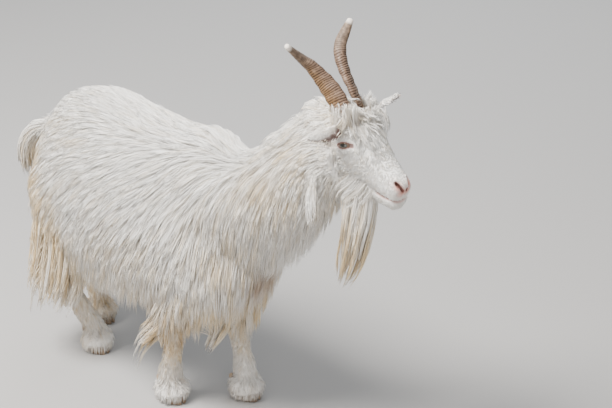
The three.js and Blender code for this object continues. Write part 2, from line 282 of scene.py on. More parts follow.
def merged(node):
    """A CAD node's points and triangles, with its doubled points made one."""
    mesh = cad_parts[node].data
    mesh.calc_loop_triangles()
    points = numbers(mesh.vertices, "co", 3).astype(float)
    triangles = numbers(mesh.loop_triangles, "vertices", 3, np.int32)
    keys = np.round(points * 1e5).astype(np.int64)
    _, first, same = np.unique(keys, axis=0, return_index=True, return_inverse=True)
    triangles = same.ravel()[triangles]
    a, b, c = triangles.T
    return points[first], triangles[(a != b) & (b != c) & (c != a)]


def areas(points, faces):
    """The area of each triangle, in mm2."""
    corner = points[faces]
    across = np.cross(corner[:, 1] - corner[:, 0], corner[:, 2] - corner[:, 0])
    return np.linalg.norm(across, axis=1) / 2 / MM**2


def walls(rings, sides, closed=False):
    """Triangles between rings of points, and on to the first ring if closed."""
    here = np.arange(sides)
    after = (here + 1) % sides
    faces = []
    for k in range(rings if closed else rings - 1):
        a, b = k * sides, (k + 1) % rings * sides
        faces.append(np.stack([a + here, a + after, b + after], 1))
        faces.append(np.stack([a + here, b + after, b + here], 1))
    return np.vstack(faces)


def tube_faces(rings, sides):
    """Walls, and the fans that close their ends on the two points after the rings."""
    here = np.arange(sides)
    after = (here + 1) % sides
    last = (rings - 1) * sides
    first_fan = np.stack([np.full(sides, rings * sides), after, here], 1)
    last_fan = np.stack([np.full(sides, rings * sides + 1), last + here, last + after], 1)
    return np.vstack([walls(rings, sides), first_fan, last_fan])


def loft(stations, rings, sides, upward, caps=(4.0, 4.0), cap_rings=3):
    """A closed tube: rows of centre, half width, reach up and reach down, in mm."""
    rows = spline(stations, rings)
    along = unit(np.gradient(rows[:, :3], axis=0))
    scale = np.ones(rings)
    for end, cap in ((0, caps[0]), (-1, caps[1])):
        angles = np.linspace(0, math.pi / 2, cap_rings + 1)[1:] * 0.97
        extra = np.repeat(rows[[end]], cap_rings, axis=0)
        step = np.sin(angles)[:, None] * cap * along[end] * (-1 if end == 0 else 1)
        extra[:, :3] += step
        tangents = np.repeat(along[[end]], cap_rings, axis=0)
        size = np.cos(angles)
        if end == 0:
            rows = np.vstack([extra[::-1], rows])
            along = np.vstack([tangents, along])
            scale = np.concatenate([size[::-1], scale])
        else:
            rows = np.vstack([rows, extra])
            along = np.vstack([along, tangents])
            scale = np.concatenate([scale, size])
    side = unit(np.cross(np.asarray(upward, float), along))
    over = np.cross(along, side)
    turn = np.arange(sides) * 2 * math.pi / sides
    across = np.cos(turn) * (rows[:, 3] * scale)[:, None]
    reach = np.where(np.sin(turn) > 0, rows[:, [4]], rows[:, [5]]) * scale[:, None]
    lift = np.sin(turn) * reach
    ring = rows[:, None, :3] + across[..., None] * side[:, None] + lift[..., None] * over[:, None]
    return np.vstack([ring.reshape(-1, 3), rows[[0, -1], :3]]), tube_faces(len(rows), sides)


# ---- The skin ----

OUTLINE_VOXEL = 5.0
BODY_VOXEL = 4.8
HEAD_VOXEL = 1.6
HEAD_NODES = ["head", "ear_left", "ear_right"]
FLESH = HEAD_NODES + ["neck", "trunk", "tail", "wattle_left", "wattle_right"]
FLESH += [f"{part}_leg_{leg}" for leg in LEGS for part in ("upper", "lower")]
BELLY_TURN = 300.0  # below this height the belly's hair hangs clear of its skin
BELLY_SHARE = 0.47  # of the drop from there to the fringe, how much is body


def label_tree():
    """Finds which flesh node a place belongs to."""
    places, owners = [], []
    for owner, node in enumerate(FLESH):
        points, triangles = merged(node)
        centres = points[triangles].mean(1)
        places += [points, centres]
        owners += [np.full(len(points) + len(centres), owner)]
    return point_tree(np.vstack(places)), np.concatenate(owners)


LABELS, LABEL_OWNERS = label_tree()


def labels(places):
    """The number of each place's flesh node."""
    return LABEL_OWNERS[nearest_point(LABELS, places)]


def owned(found, *nodes):
    return np.isin(found, [FLESH.index(node) for node in nodes])


def raised_belly(points):
    height = from_body(points)[:, 2]
    hanging = np.minimum(height - BELLY_TURN, 0)
    raised = points.copy()
    raised[:, 2] -= hanging * (1 - BELLY_SHARE) * MM
    return raised


def leg_core(name):
    """The fleshy upper part of a leg, from inside the body to below its joint."""
    leg = LEGS[name]
    x, y, _ = leg["joint"]
    tx, ty, tz = leg["top"]
    fx, fy = leg["foot"]
    if name.startswith("fore"):
        rows = [
            (tx, ty, tz, 34, 42, 44),
            (x + 0.55 * (tx - x), (y + ty) / 2, 262, 27, 32, 34),
            (x + 6, y, 210, 21.5, 22, 25),
            (x, y, 176, 19, 20, 21),
            (x, y, 148, 16, 17, 18),
        ]
    else:
        rows = [
            (tx + 20, 0.7 * ty, 440, 20, 40, 40),
            (tx + 10, 0.92 * ty, 366, 40, 68, 60),
            (x + 36, ty, 292, 37, 58, 48),
            (x + 16, (y + ty) / 2, 236, 27, 33, 31),
            (x, y, 190, 18.5, 22, 25),
            (x + 0.3 * (fx - x), y + 0.3 * (fy - y), 140, 15, 17, 18),
            (x + 0.7 * (fx - x), y + 0.7 * (fy - y), 92, 14.5, 15, 17),
            (fx - 6, fy, 58, 16, 17, 18),
        ]
    points, faces = loft(rows, 30, 20, (1, 0, 0))
    return on_body(points), faces


def lower_leg(name):
    """The cannon and foot drawn in under their fur, most where it flares."""
    points, faces = merged(f"lower_leg_{name}")
    points, faces = fused([(points, faces)], 3.2)
    height = from_body(points)[:, 2]
    depth = 3.5 + 11.5 * ramp(height, 62, 34)
    return drawn_in(points, faces, depth[:, None], 8), faces


def dock():
    """The bony part of the tail."""
    rows = [(-318, 0, 474, 16, 13, 13), (-366, 0, 463, 12, 9, 9), (-398, 0, 448, 8, 6, 6)]
    points, faces = loft(rows, 12, 14, (0, 0, 1))
    return on_body(points), faces


def neck_core():
    """Carries the drawn-in neck on into the head."""
    rows = [
        (338, 12, 562, 54, 66, 84),
        (392, 20, 612, 46, 66, 66),
        (426, 26, 652, 38, 54, 48),
        (452, 28, 664, 30, 34, 30),
    ]
    points, faces = loft(rows, 20, 24, (0, 0, 1))
    return on_body(points), faces


def body_skin():
    trunk_points, trunk_faces = merged("trunk")
    parts = [(raised_belly(trunk_points), trunk_faces), merged("neck")]
    points, faces = fused(parts, OUTLINE_VOXEL)
    place = from_body(points)
    found = labels(points)
    depth = 11 + 9 * ramp(place[:, 2], 540, 400) + 4 * ramp(place[:, 0], 120, 260)
    depth = np.where(owned(found, "neck"), 12, depth)
    depth = relaxed(depth, faces, 12)
    points = drawn_in(points, faces, depth, 10)
    parts = [(points, faces), neck_core(), dock()]
    for name in LEGS:
        parts += [leg_core(name), lower_leg(name)]
    points, faces = fused(parts, BODY_VOXEL)
    return relaxed(points, faces, 4), faces


# An eye's own frame: along the opening towards the nose, up, and out.
GAZE = unit(np.array([0.25, 0.79, 0.55]))
SLANT = math.radians(38)  # of the line through both corners of the eye


def eye_axes(sign):
    out = GAZE * (1, sign, 1)
    ahead = unit(np.array([math.cos(SLANT), 0, math.sin(SLANT)]))
    ahead = unit(ahead - (ahead @ out) * out)
    up = np.cross(out, ahead) if sign < 0 else np.cross(ahead, out)
    return ahead, up * np.sign(up[2]), out


LID_CORNER = math.radians(64)  # from the gaze to each corner of the eye
LID_UPPER = math.radians(21)
LID_LOWER = math.radians(19)
LID_POWER = 1.6  # under 2, so the corners are pointed


def lid_opening(turn):
    """How far from the gaze the lids end, in the direction turn."""
    reach = np.where(np.sin(turn) > 0, LID_UPPER, LID_LOWER)
    share = (abs(np.cos(turn)) / LID_CORNER) ** LID_POWER
    share = share + (abs(np.sin(turn)) / reach) ** LID_POWER
    return share ** (-1 / LID_POWER)


def beyond_lids(head, sign):
    """How far places are from an eye's centre, and by what angle past its opening."""
    ahead, up, out = eye_axes(sign)
    ray = head - EYE_PLACE * (1, sign, 1)
    flat = np.stack([ray @ ahead, ray @ up], 1)
    angle = np.arctan2(np.linalg.norm(flat, axis=1), ray @ out)
    return np.linalg.norm(ray, axis=1), angle - lid_opening(np.arctan2(flat[:, 1], flat[:, 0]))


def lids(sign):
    """Upper and lower lid as one thick collar round the eyeball."""
    turns = np.arange(64) * 2 * math.pi / 64
    edge = lid_opening(turns)
    upper = ramp(np.sin(turns), -0.3, 0.5)
    thick = 1.7 + 1.3 * upper
    far = math.radians(104)
    section = [
        (edge, EYE_RADIUS - 5 + 0 * edge),
        (edge, EYE_RADIUS + 0.5 + 0 * edge),
        (edge + 0.03, EYE_RADIUS + 0.75 * thick),
        (edge + 0.13, EYE_RADIUS + thick),
        (edge + 0.30, EYE_RADIUS + 0.9 * thick),
        (edge + 0.47, EYE_RADIUS + 0.1 * thick),
        (edge + 0.62, EYE_RADIUS + 0.5 * thick),
        (np.maximum(edge + 0.8, 1.35), EYE_RADIUS - 1.5 + 0 * edge),
        (far + 0 * edge, EYE_RADIUS - 5 + 0 * edge),
        (far + 0 * edge, EYE_RADIUS - 8 + 0 * edge),
    ]
    ahead, up, out = eye_axes(sign)
    rows = []
    for angle, radius in section:
        flat = np.cos(turns)[:, None] * ahead + np.sin(turns)[:, None] * up
        ray = np.cos(angle)[:, None] * out + np.sin(angle)[:, None] * flat
        rows.append(EYE_PLACE * (1, sign, 1) + ray * radius[:, None])
    faces = walls(len(section), len(turns), closed=True)
    return on_head(np.vstack(rows)), faces[:, [0, 2, 1]]


def ball(centre, radius):
    """A plain closed ball, in the head's frame."""
    rows = [
        (centre[0] - radius * 0.02, centre[1], centre[2], radius, radius, radius),
        (centre[0] + radius * 0.02, centre[1], centre[2], radius, radius, radius),
    ]
    points, faces = loft(rows, 2, 24, (0, 0, 1), caps=(radius, radius), cap_rings=8)
    return on_head(points), faces


# x and z of the closed lips.
MOUTH = [(134, -61.0), (141, -63.5), (157, -61.5), (172, -55.5), (181, -58.5), (190, -60.0)]


def mouth_gap(place):
    """Height of a place over the line of the mouth, and how much it is on it."""
    x, z = np.array(MOUTH).T
    line = np.interp(place[:, 0], x, z)
    on = ramp(place[:, 0], x[0] - 2, x[0] + 6)
    return place[:, 2] - line, on


def head_depth(place, found):
    """How deep the skin of the head lies under the tips of its fur."""
    x, _, z = place.T
    depth = 2.6 - 1.7 * ramp(x, 95, 135)
    depth = depth + 9.5 * ramp(x, 66, 30) * ramp(z, -12, 12)
    depth = depth + 4.5 * ramp(x, 92, 50) * ramp(z, -30, -58)
    depth = depth + 4.0 * ramp(z, -86, -104) * ramp(x, 150, 100)
    away = np.linalg.norm(mirrored(place) - EYE_PLACE, axis=1)
    depth = depth * (1 - 0.75 * ramp(away, 32, 20)) + 0.3
    depth[owned(found, "ear_left", "ear_right")] = 0.9
    return depth


# Centre x and z of the skull's rings, half width and reach up.
SKULL = np.array(
    [
        (-52, -36, 34, 40),
        (-30, -36, 40, 46),
        (0, -34, 46, 50),
        (37, -32, 47, 52),
        (66, -34, 45, 51),
        (98, -37, 39, 43),
        (129, -39, 30, 35),
    ],
    float,
)
CROWN_FRONT = 112.0


def flat_crown(points):
    """The head without the forelock's hair: drawn in to the round of the skull."""
    place = from_head(points)
    x, y, z = place.T
    height, half, reach = [np.interp(x, SKULL[:, 0], column) for column in SKULL.T[1:]]
    over = np.hypot(y / half, (z - height) / reach)
    share = 1 / np.maximum(over / 1.03, 1)
    share = np.where((z > height) & (x < CROWN_FRONT), share, 1)
    place[:, 1] = y * share
    place[:, 2] = height + (z - height) * share
    return on_head(place)


# Centre in the head's frame, half width, and half reach of the keel, of the left horn.
HORN_ROWS = [
    (38, 18, -4, 6.5, 16.5, 16.5),
    (19, 18.5, 20, 6.8, 17, 17),
    (-4, 19.5, 38, 7.2, 17.3, 17.3),
    (-28, 22, 50, 8.5, 16.2, 16.2),
    (-48, 26.5, 59, 10, 13.6, 13.6),
    (-66, 33, 69, 11.2, 11.2, 11.2),
    (-80, 43.5, 78, 11, 8.5, 8.5),
    (-88, 57, 92, 9.5, 6.5, 6.5),
    (-95, 71, 107, 6, 4.8, 4.8),
]
HORN_KEEL = np.array([0.18, -0.71, 0.68])
HORN_CAPS = (3, 4)
HORN_CAP_RINGS = 5


def sided(rows, sign):
    """The left side's rows of a loft, for one side."""
    return np.array(rows, float) * (1, sign, 1, 1, 1, 1)


def horn_plug(sign):
    """Fills the socket of a horn, so that the skin closes round the horn's root."""
    rows = [(40, 18, -8, 5, 15, 15), (30, 18, 6, 5, 15, 15), (21, 18.5, 17, 4, 14, 14)]
    points, faces = loft(sided(rows, sign), 8, 16, HORN_KEEL * (1, sign, 1))
    return on_head(points), faces


EAR_ROOT_RISE = {1: 11, -1: 2}


def ear_root(sign):
    """The base of an ear, from inside the skull out into the leaf."""
    rise = EAR_ROOT_RISE[sign]
    rows = [
        (38, 20 * sign, -4, 15, 15, 15),
        (37, 38 * sign, 4 + 0.6 * rise, 13, 12, 12),
        (34, 54 * sign, 10 + rise, 10, 7, 7),
        (33, 64 * sign, 11 + rise, 7, 3, 3),
    ]
    points, faces = loft(rows, 20, 16, (1, 0, 0))
    return on_head(points), faces


def head_skin():
    head_points, head_faces = merged("head")
    parts = [(flat_crown(head_points), head_faces)] + [merged(node) for node in HEAD_NODES[1:]]
    for sign in (1, -1):
        parts += [horn_plug(sign), ear_root(sign)]
    points, faces = fused(parts, HEAD_VOXEL)
    place = from_head(points)
    found = labels(points)
    depth = relaxed(head_depth(place, found), faces, 6)
    ear = owned(found, *HEAD_NODES[1:]) & (abs(place[:, 1]) > 46)
    crown = ramp(place[:, 0], 104, 86) * ramp(place[:, 2], -16, -6) * ~ear
    points = drawn_in(points, faces, depth, 5, 0.5 * ~ear[:, None])
    points = relaxed(points, faces, 40, 0.5 * crown[:, None])
    parts = [(points, faces)]
    for sign in (1, -1):
        parts += [lids(sign), ball(EYE_PLACE * (1, sign, 1), EYE_RADIUS - 1.2)]
    points, faces = fused(parts, HEAD_VOXEL)
    points = relaxed(points, faces, 1)
    return points, faces


NOSTRIL = np.array([(182.0, 5.0, -31.5), (176.5, 8.5, -25.5), (167.5, 12.5, -20.5)])  # left
NOSTRIL_WAY = np.array([-0.82, -0.38, -0.42])  # into the head


def nostril_gap(place, deep=0.0):
    """Distance to the slit of the nearer nostril, which goes deep mm into the head."""
    line = spline(NOSTRIL, 15)
    slit = np.vstack([line + NOSTRIL_WAY * step for step in (0, 0.33 * deep, 0.66 * deep, deep)])
    return np.linalg.norm(mirrored(place)[:, None] - slit[None], axis=2).min(1)


def face_folds(points, normals):
    """Moves of the head's skin: the groove of the mouth, its lips and the nose."""
    place = from_head(points)
    gap = nostril_gap(place)
    over, on = mouth_gap(place)
    ahead = ramp(place[:, 0], 120, 130)
    groove = -1.9 * np.exp(-((over / 1.5) ** 2)) + 0.7 * np.exp(-(((abs(over) - 4) / 2.4) ** 2))
    front = (place[:, 0] > 150) & (abs(place[:, 1]) < 14)
    philtrum = -1.0 * np.exp(-((place[:, 1] / 1.3) ** 2)) * ramp(place[:, 2], -60, -54)
    philtrum = philtrum * ramp(place[:, 2], -30, -40) * front
    hole = -5.5 * np.exp(-((gap / 2.6) ** 2)) + 1.0 * np.exp(-(((gap - 6) / 2.2) ** 2))
    move = groove * on * ahead + philtrum + hole
    return points + normals * move[:, None] * MM


def wattle_skin(sign, neck):
    """The finger of skin that hangs from one side of the throat, rooted in the neck."""
    near, out, _, _ = neck.find_nearest(on_body((420, 38 * sign, 574)))
    root = from_body(np.array(near - out * 8 * MM))
    rows = [
        (*root, 3, 3, 3),
        (422, 42 * sign, 553, 3, 3, 3),
        (430, 50 * sign, 532, 3.5, 3.5, 3.5),
        (434, 53 * sign, 516, 4.5, 4.5, 4.5),
    ]
    points, faces = loft(rows, 26, 16, (1, 0, 0), caps=(3, 9))
    return on_body(points), faces


def build_skin():
    body_points, body_faces = body_skin()
    head_points, head_faces = head_skin()
    head_points = face_folds(head_points, outward(head_points, head_faces))
    body = mesh_object("skin", body_points, body_faces)
    head = mesh_object("head_skin", head_points, head_faces)
    neck = tree_of(body_points, body_faces)
    for sign in (1, -1):
        wattle = mesh_object("wattle_skin", *wattle_skin(sign, neck))
        with_modifier(head, "BOOLEAN", operation="UNION", solver="EXACT", object=wattle)
        bpy.data.objects.remove(wattle)
    with_modifier(body, "BOOLEAN", operation="UNION", solver="EXACT", object=head)
    bpy.data.objects.remove(head)
    with_modifier(body, "TRIANGULATE")
    return body


# ---- Markings, the same on skin and coat ----

# Centre in the body's frame (both sides alike), radii, strength.
CREAM_SPOTS = [
    ((-325, 70, 160), (110, 130, 150), 1.0),  # long hair of the thighs
    ((-290, 115, 250), (85, 70, 130), 1.0),
    ((-330, 95, 370), (70, 70, 90), 0.8),
    ((-250, 110, 330), (58, 60, 60), 0.8),
    ((-215, 105, 270), (52, 60, 55), 0.9),
    ((-190, 100, 200), (55, 60, 60), 0.9),
    ((-400, 0, 380), (45, 40, 60), 0.6),  # under the tail
    ((195, 112, 400), (60, 40, 90), 0.22),  # point of the shoulder
    ((180, 60, 195), (110, 100, 80), 0.7),  # brisket
    ((70, 80, 160), (90, 60, 80), 0.8),  # long hair of the forearms
    ((60, 125, 200), (120, 60, 60), 0.35),
    ((-90, 140, 250), (140, 60, 70), 0.3),
    ((395, 60, 590), (40, 50, 90), 0.22),
    ((-240, 95, 510), (70, 50, 40), 0.2),
    ((468, 14, 405), (60, 60, 105), 0.85),  # beard
    ((440, 0, 690), (60, 60, 25), 0.3),  # forelock
    ((235, 85, 330), (90, 80, 130), 0.30),  # chest
    ((330, 75, 510), (70, 60, 90), 0.45),  # throat
    ((360, 75, 600), (60, 60, 80), 0.50),
    ((0, 140, 300), (220, 60, 90), 0.20),  # lower ribs
    ((430, 40, 640), (30, 40, 40), 0.2),
]
# Brown stains, and one painted shadow under the right ear.
STAIN_AND_SHADOW_SPOTS = [
    ((262, 14, 296), (20, 22, 42), 0.75),
    ((250, 20, 250), (16, 20, 36), 0.45),
    ((104, 66, 150), (16, 14, 16), 0.6),
    ((446, 24, 646), (10, 22, 7), 0.30),  # painted shadow below the right ear
    ((160, 52, 12), (60, 50, 26), 0.34),
    ((84, 80, 165), (60, 40, 70), 0.24),  # elbows
    ((110, 58, 60), (70, 50, 80), 0.15),  # shanks
    ((-270, 60, 60), (80, 70, 70), 0.14),
]
PINK_SPOTS = [  # in the head's frame
    ((184, 6, -34), (12, 14, 14), 1.0),
    ((175, 12, -24), (15, 9, 9), 1.0),
]


def markings(points):
    """Cream of the coat, and brown of its stains and of a painted shadow, at places in metres."""
    place = from_body(points)
    place[:, 1] = abs(place[:, 1])
    return blobs(place, CREAM_SPOTS), blobs(place, STAIN_AND_SHADOW_SPOTS)


def give(obj, name, values):
    """Stores one number for each point of a piece."""
    layer = obj.data.attributes.new(name, "FLOAT", "POINT")
    layer.data.foreach_set("value", np.asarray(values, np.float32).ravel())


def mark_skin(obj, points, normals):
    """Gives the skin its markings, and the colours of nose, lips, nostrils and lids, with painted
    shade in the nostrils, along the line of the mouth and in the ear hollows.
    """
    cream, stain_and_shadow = markings(points)
    place = from_head(points)
    over, on = mouth_gap(place)
    lips = np.exp(-((over / 2.8) ** 2)) * on * ramp(place[:, 0], 126, 134) * 0.9
    pink = np.maximum(blobs(mirrored(place), PINK_SPOTS), lips)
    # painted shade in the crease along the line of the mouth
    dark = np.exp(-((over / 1.3) ** 2)) * on * ramp(place[:, 0], 126, 134)
    # painted shade deep in the nostrils
    dark = np.maximum(dark, 0.97 * ramp(nostril_gap(place, 9.0), 3.7, 2.3))
    for sign in (1, -1):
        far, edge = beyond_lids(place, sign)
        near = ramp(far, 24, 19)
        pink = np.maximum(pink, 0.8 * np.exp(-((edge / 0.15) ** 2)) * near)
        dark = np.maximum(dark, 0.85 * ramp(edge, 0.13, 0.0) * near)
    # painted shade over the darker inner skin of the ear hollows
    shade = np.maximum(ear_shade(points), 0.9 * points_in_ears(place, normals))
    marks = {"cream": cream, "stain_and_shadow": stain_and_shadow, "pink": pink, "dark": dark, "shade": shade}
    for name, values in marks.items():
        give(obj, name, values)


# Centre in the body's frame, radii, strength of the hollows of both ears, where painted shade darkens
# their inner skin.
EAR_SHADES = [
    ((472, -24, 678), (8, 10, 12), 1.0),
    ((473, -38, 671), (9, 13, 14), 1.0),
    ((471, -52, 665), (9, 13, 14), 1.0),
    ((468, -64, 660), (8, 11, 12), 1.0),
    ((501, 82, 693), (10, 12, 8), 1.0),
    ((501, 94, 698), (9, 12, 7.5), 1.0),
    ((498, 106, 703), (8, 10, 6.5), 0.9),
]


def ear_shade(places):
    return np.clip(1.6 * blobs(from_body(places), EAR_SHADES), 0, 1)


def points_in_ears(place, normals):
    """1 on the hollow side of the ears, which looks ahead and down: painted shade over their darker
    inner skin.
    """
    facing = normals @ HEAD_TURN
    hollow = ramp(facing[:, 0] * 0.7 - facing[:, 2] * 0.7, -0.1, 0.5)
    along = ramp(abs(place[:, 1]), 48, 62)
    return hollow * along * (place[:, 0] < 80) * (place[:, 2] > -60)


# ---- How the coat lies ----

# Place, the way the hair grows, its length, and how closely it follows the body (0
# hangs free). The left side is given, and the right side mirrors it.
COMB = [
    # croup and rump
    ((-250, 0, 602), (-0.95, 0.30, -0.05), 70, 1.0),
    ((-330, 20, 540), (-0.60, 0.30, -0.70), 70, 0.9),
    ((-352, 30, 460), (-0.15, 0.30, -1.0), 85, 0.6),
    ((-240, 110, 500), (-0.85, 0.20, -0.50), 80, 1.0),
    ((-320, 80, 430), (-0.35, 0.15, -0.95), 95, 0.8),
    # back
    ((-160, 0, 602), (-0.95, 0.38, 0.0), 75, 1.0),
    ((-50, 0, 586), (-0.90, 0.45, 0.0), 85, 1.0),
    ((60, 0, 578), (-0.85, 0.55, 0.0), 95, 1.0),
    ((150, 0, 595), (-0.70, 0.75, -0.15), 100, 0.9),
    ((215, 0, 572), (-0.75, 0.70, -0.10), 90, 0.9),
    # ribs and flank
    ((-150, 112, 500), (-0.88, 0.12, -0.48), 85, 1.0),
    ((0, 120, 490), (-0.78, 0.12, -0.62), 95, 1.0),
    ((120, 100, 500), (-0.62, 0.25, -0.75), 105, 0.9),
    ((-160, 140, 400), (-0.62, 0.0, -0.80), 90, 0.9),
    ((-20, 143, 390), (-0.60, 0.0, -0.82), 95, 0.9),
    ((110, 130, 400), (-0.42, 0.0, -0.92), 105, 0.8),
    ((-150, 130, 270), (-0.38, 0.0, -0.93), 95, 0.4),
    ((0, 135, 260), (-0.42, 0.0, -0.92), 100, 0.4),
    ((110, 120, 260), (-0.28, 0.0, -0.96), 110, 0.3),
    ((-150, 60, 230), (-0.30, 0.10, -0.95), 85, 0.0),
    ((0, 50, 230), (-0.30, 0.10, -0.95), 80, 0.0),
    ((110, 40, 230), (-0.25, 0.05, -0.95), 85, 0.0),
    # shoulder and chest
    ((215, 100, 410), (-0.05, 0.05, -1.0), 100, 0.8),
    ((235, 80, 500), (-0.30, 0.15, -0.95), 95, 0.9),
    ((225, 85, 290), (-0.10, 0.0, -1.0), 105, 0.5),
    ((262, 0, 380), (-0.25, 0.10, -0.95), 95, 0.6),
    ((250, 0, 280), (-0.40, 0.05, -0.90), 100, 0.4),
    ((200, 25, 210), (-0.25, 0.0, -0.97), 95, 0.0),
    # thighs
    ((-240, 112, 330), (-0.48, 0.05, -0.88), 95, 0.7),
    ((-300, 110, 300), (-0.30, 0.08, -0.95), 105, 0.4),
    ((-345, 70, 320), (-0.25, 0.10, -0.97), 115, 0.2),
    ((-280, 110, 210), (-0.30, 0.05, -0.95), 105, 0.1),
    ((-330, 70, 210), (-0.22, 0.0, -0.97), 110, 0.0),
    ((-240, 30, 240), (-0.20, 0.0, -0.98), 80, 0.1),
    # neck
    ((300, 8, 600), (-0.65, 0.65, -0.40), 80, 1.0),
    ((350, 12, 650), (-0.60, 0.65, -0.50), 65, 1.0),
    ((400, 22, 700), (-0.60, 0.55, -0.60), 55, 0.9),
    ((280, 90, 520), (-0.32, 0.10, -0.95), 90, 0.9),
    ((340, 88, 560), (-0.30, 0.10, -0.95), 75, 0.9),
    ((400, 78, 630), (-0.25, 0.12, -0.96), 60, 0.9),
    ((330, 60, 470), (-0.22, 0.0, -0.97), 90, 0.6),
    ((390, 45, 520), (-0.28, 0.0, -0.96), 75, 0.6),
    ((375, 5, 465), (-0.50, 0.05, -0.86), 80, 0.5),
    ((430, 5, 560), (-0.45, 0.05, -0.88), 60, 0.5),
    ((300, 0, 430), (-0.40, 0.05, -0.90), 90, 0.6),
    # legs
    ((150, 90, 250), (-0.20, 0.0, -0.97), 75, 0.4),
    ((105, 70, 225), (-0.45, 0.1, -0.88), 70, 0.3),
    ((110, 62, 178), (-0.10, 0.0, -1.0), 26, 0.9),
    ((110, 60, 120), (-0.05, 0.0, -1.0), 16, 1.0),
    ((110, 55, 60), (-0.10, 0.0, -1.0), 22, 0.8),
    ((-310, 68, 160), (-0.05, 0.0, -1.0), 40, 0.6),
    ((-285, 60, 110), (0.1, 0.0, -1.0), 18, 1.0),
    ((-262, 50, 60), (-0.05, 0.0, -1.0), 22, 0.8),
    # tail
    ((-345, 0, 482), (-0.9, 0.25, 0.0), 45, 0.8),
    ((-385, 8, 455), (-0.85, 0.35, -0.4), 60, 0.3),
    # wattles
    ((424, 44, 552), (0.0, 0.1, -1.0), 24, 0.9),
    ((432, 52, 520), (0.0, 0.25, -1.0), 20, 0.9),
]

# The same for the head, in the head's frame.
HEAD_COMB = [
    ((176, 0, -16), (0.7, 0.2, -0.3), 4, 1.0),
    ((150, 0, -8), (0.9, 0.2, -0.1), 6, 1.0),
    ((120, 0, 0), (0.9, 0.25, 0.0), 12, 1.0),
    ((92, 0, 12), (0.85, 0.3, 0.1), 26, 0.9),
    ((70, 8, 18), (0.8, 0.5, 0.2), 40, 0.9),
    ((40, 0, 26), (0.85, 0.25, 0.3), 55, 0.85),
    ((30, 22, 24), (0.8, 0.55, 0.3), 50, 0.85),
    ((10, 0, 28), (0.85, 0.2, 0.4), 50, 0.85),
    ((38, 42, 12), (0.7, 0.5, -0.25), 24, 0.9),
    ((66, 38, 6), (0.6, 0.6, -0.3), 30, 0.9),
    ((-22, 0, 12), (-0.85, 0.1, -0.3), 42, 0.95),
    ((-30, 30, -10), (-0.8, 0.3, -0.5), 50, 0.9),
    ((5, 45, -20), (-0.6, 0.2, -0.8), 40, 0.9),
    # muzzle and lips
    ((150, 24, -35), (-0.1, 0.1, -0.9), 6, 1.0),
    ((125, 28, -40), (-0.3, 0.1, -0.9), 8, 1.0),
    ((170, 18, -55), (0.1, 0.2, -0.9), 4, 1.0),
    ((160, 16, -76), (-0.2, 0.1, -0.9), 8, 0.9),
    ((175, 0, -72), (0.3, 0.1, -0.9), 7, 0.9),
    ((130, 22, -80), (-0.5, 0.1, -0.8), 14, 0.9),
    # cheeks and jaw
    ((100, 38, -45), (-0.45, 0.1, -0.85), 12, 1.0),
    ((80, 44, -65), (-0.7, 0.1, -0.7), 24, 0.95),
    ((105, 34, -72), (-0.75, 0.1, -0.65), 20, 1.0),
    ((50, 46, -55), (-0.75, 0.1, -0.65), 30, 0.9),
    ((40, 44, -85), (-0.75, 0.1, -0.6), 36, 0.9),
    ((15, 46, -60), (-0.7, 0.1, -0.7), 46, 0.8),
    ((70, 42, -85), (-0.8, 0.1, -0.55), 26, 0.9),
    ((110, 26, -92), (-0.85, 0.1, -0.45), 17, 0.9),
    ((80, 20, -108), (-0.85, 0.0, -0.45), 26, 0.8),
    ((30, 10, -105), (-0.6, 0.0, -0.8), 44, 0.7),
    # round the eye
    ((58, 44, 10), (0.3, 0.8, 0.2), 12, 0.9),
    ((74, 38, 4), (0.6, 0.5, 0.0), 11, 1.0),
    ((80, 36, -20), (0.3, 0.1, -0.9), 9, 1.0),
    ((60, 45, -38), (-0.5, 0.1, -0.8), 8, 1.0),
    ((36, 48, -20), (-0.7, 0.3, -0.5), 9, 1.0),
    # ears, out along the leaf
    ((36, 52, 8), (-0.1, 1.0, 0.0), 12, 1.0),
    ((33, 75, 12), (-0.1, 1.0, 0.0), 10, 1.0),
    ((31, 100, 10), (-0.1, 1.0, -0.1), 8, 1.0),
]


def comb_table():
    """Places, ways of growing, and lengths with clings, of both sides."""
    places, ways, rest = [], [], []
    for table, onto, turn in ((COMB, on_body, np.eye(3)), (HEAD_COMB, on_head, HEAD_TURN)):
        for place, way, length, cling in table:
            for sign in (1, -1):
                places.append(onto(np.array(place) * (1, sign, 1)))
                ways.append(turn @ (np.array(way) * (1, sign, 1)))
                rest.append((length, cling))
    return np.array(places), unit(np.array(ways)), np.array(rest, float)


COMB_PLACES, COMB_WAYS, COMB_REST = comb_table()
COMB_BLUR = 14 * MM


def combed(places):
    """The way the hair grows, its length in metres and its cling, blended at places."""
    away = ((places[:, None] - COMB_PLACES[None]) ** 2).sum(2)
    weight = 1 / (away + COMB_BLUR**2) ** 2.2
    weight /= weight.sum(1, keepdims=True)
    rest = weight @ COMB_REST
    return unit(weight @ COMB_WAYS), rest[:, [0]] * MM, rest[:, [1]]


GUIDE_STEPS = 9
ROOT_DEPTH = 1.2  # mm, how deep the hairs stand in the skin


